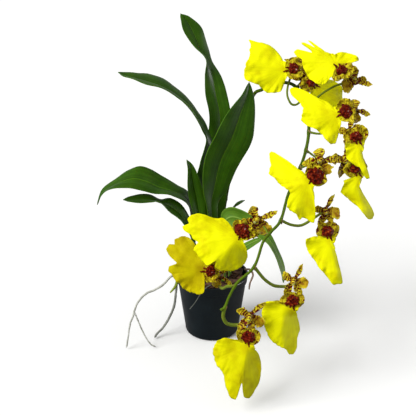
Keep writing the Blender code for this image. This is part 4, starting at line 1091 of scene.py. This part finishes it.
def makeRoot(name, first, last, route, seed):
    # a lumpy tube, rounded off over its last two millimetres
    long = runLength(route)
    shoot = name == "new_shoot"
    first, last = (first, last) if shoot else (rootThin * first, rootThin * last)
    radii = [(0, first), (1 - 2.4 / long, last), (1 - 1.0 / long, last * 0.8), (1, last * 0.25)]
    skin = stalkGreen if shoot else rootSkins.get(name, rootGrey)
    sheet = tubeSheet(route, radii, 14, 0.8, 0.04 if shoot else 0.16, seed)
    addPiece(name + "_skin", [sheet], [skin], [name], closed=True)


for seed, (name, (first, last, route)) in enumerate(roots.items()):
    makeRoot(name, first, last, route, seed)
print("roots done")


# floor, light and camera
studio = {"bounce": "#909090", "sky": 0.52, "backdrop": 1.0, "floorHalf": 9.0, "keyStrength": 3.1,
          "keySpread": 40.0, "keyFrom": (-0.72, -0.42, 0.66), "keyAim": (0.01, -0.05, 0.17),
          "rimPower": 30.0, "rimSize": 0.7, "rimFrom": (1.0, -0.10, 0.05), "rimAim": (0.03, 0, 0.04)}
view = {"lens": 83.5, "sensor": 36.0, "place": (-0.00427, -0.8935, 0.5282), "tilt": 66.5, "farthest": 30.0}


def paperSweep():
    # studio paper: matt white with the faintest mottling; it gives less light back than the camera sees
    material, tree, uv, spot = startMaterial("whiteStudioPaper")
    cloud = addNode(tree, "TexNoise", {"Vector": spot, "Scale": 3.0, "Detail": 2.0})
    tone = addNode(tree, "ValToRGB", {"Fac": cloud, "stops": [(0.3, "#f6f6f5"), (0.7, "#fbfbfa")]})
    seen = addNode(tree, "LightPath", {}).outputs["Is Camera Ray"]
    body = addNode(tree, "Mix", {**blend, 0: seen, 6: studio["bounce"], 7: tone})
    finishMaterial(tree, {"Roughness": 0.9, "Specular IOR Level": 0.1}, body)
    return material


def addLamp(name, kind, settings, place, aim, diffuse=True):
    # a lamp aimed at a point; without diffuse it only adds gloss
    lamp = bpy.data.lights.new(name, kind)
    for key, value in settings.items():
        setattr(lamp, key, value)
    holder = bpy.data.objects.new(name, lamp)
    holder.location = place
    holder.visible_diffuse = diffuse
    holder.rotation_euler = (Vector(aim) - Vector(place)).to_track_quat("-Z", "Y").to_euler()
    bpy.context.scene.collection.objects.link(holder)


def makeStudio():
    # a paper floor, a soft sun from the left, a low gloss lamp at the right, and an even sky
    mesh = bpy.data.meshes.new("paper_floor")
    half = studio["floorHalf"]
    corners = [(-half, -half, 0), (half, -half, 0), (half, half, 0), (-half, half, 0)]
    mesh.from_pydata(corners, [], [(0, 1, 2, 3)])
    mesh.materials.append(paperSweep())
    floor = bpy.data.objects.new("paper_floor", mesh)
    bpy.context.scene.collection.objects.link(floor)
    key = {"energy": studio["keyStrength"], "angle": math.radians(studio["keySpread"])}
    addLamp("key", "SUN", key, Vector(studio["keyFrom"]) + Vector(studio["keyAim"]), studio["keyAim"])
    rim = {"shape": "DISK", "size": studio["rimSize"], "energy": studio["rimPower"]}
    addLamp("rim", "AREA", rim, studio["rimFrom"], studio["rimAim"], diffuse=False)
    world = bpy.data.worlds.new("studio")
    world.use_nodes = True
    tree = world.node_tree
    tree.nodes.clear()
    seen = addNode(tree, "LightPath", {}).outputs["Is Camera Ray"]
    strength = addNode(tree, "MapRange", {0: seen, 3: studio["sky"], 4: studio["backdrop"]})
    sky = addNode(tree, "Background", {"Color": white, "Strength": strength})
    addNode(tree, "OutputWorld", {0: sky})
    bpy.context.scene.world = world
    bpy.context.scene.view_settings.view_transform = "Standard"


def makeCamera():
    # looks down a little from in front, with a long lens
    camera = bpy.data.cameras.new("camera")
    camera.lens = view["lens"]
    camera.sensor_width = view["sensor"]
    camera.clip_end = view["farthest"]
    holder = bpy.data.objects.new("camera", camera)
    holder.location = view["place"]
    holder.rotation_euler = (math.radians(view["tilt"]), 0.0, 0.0)
    bpy.context.scene.collection.objects.link(holder)
    bpy.context.scene.camera = holder


makeStudio()
makeCamera()
print("studio done")
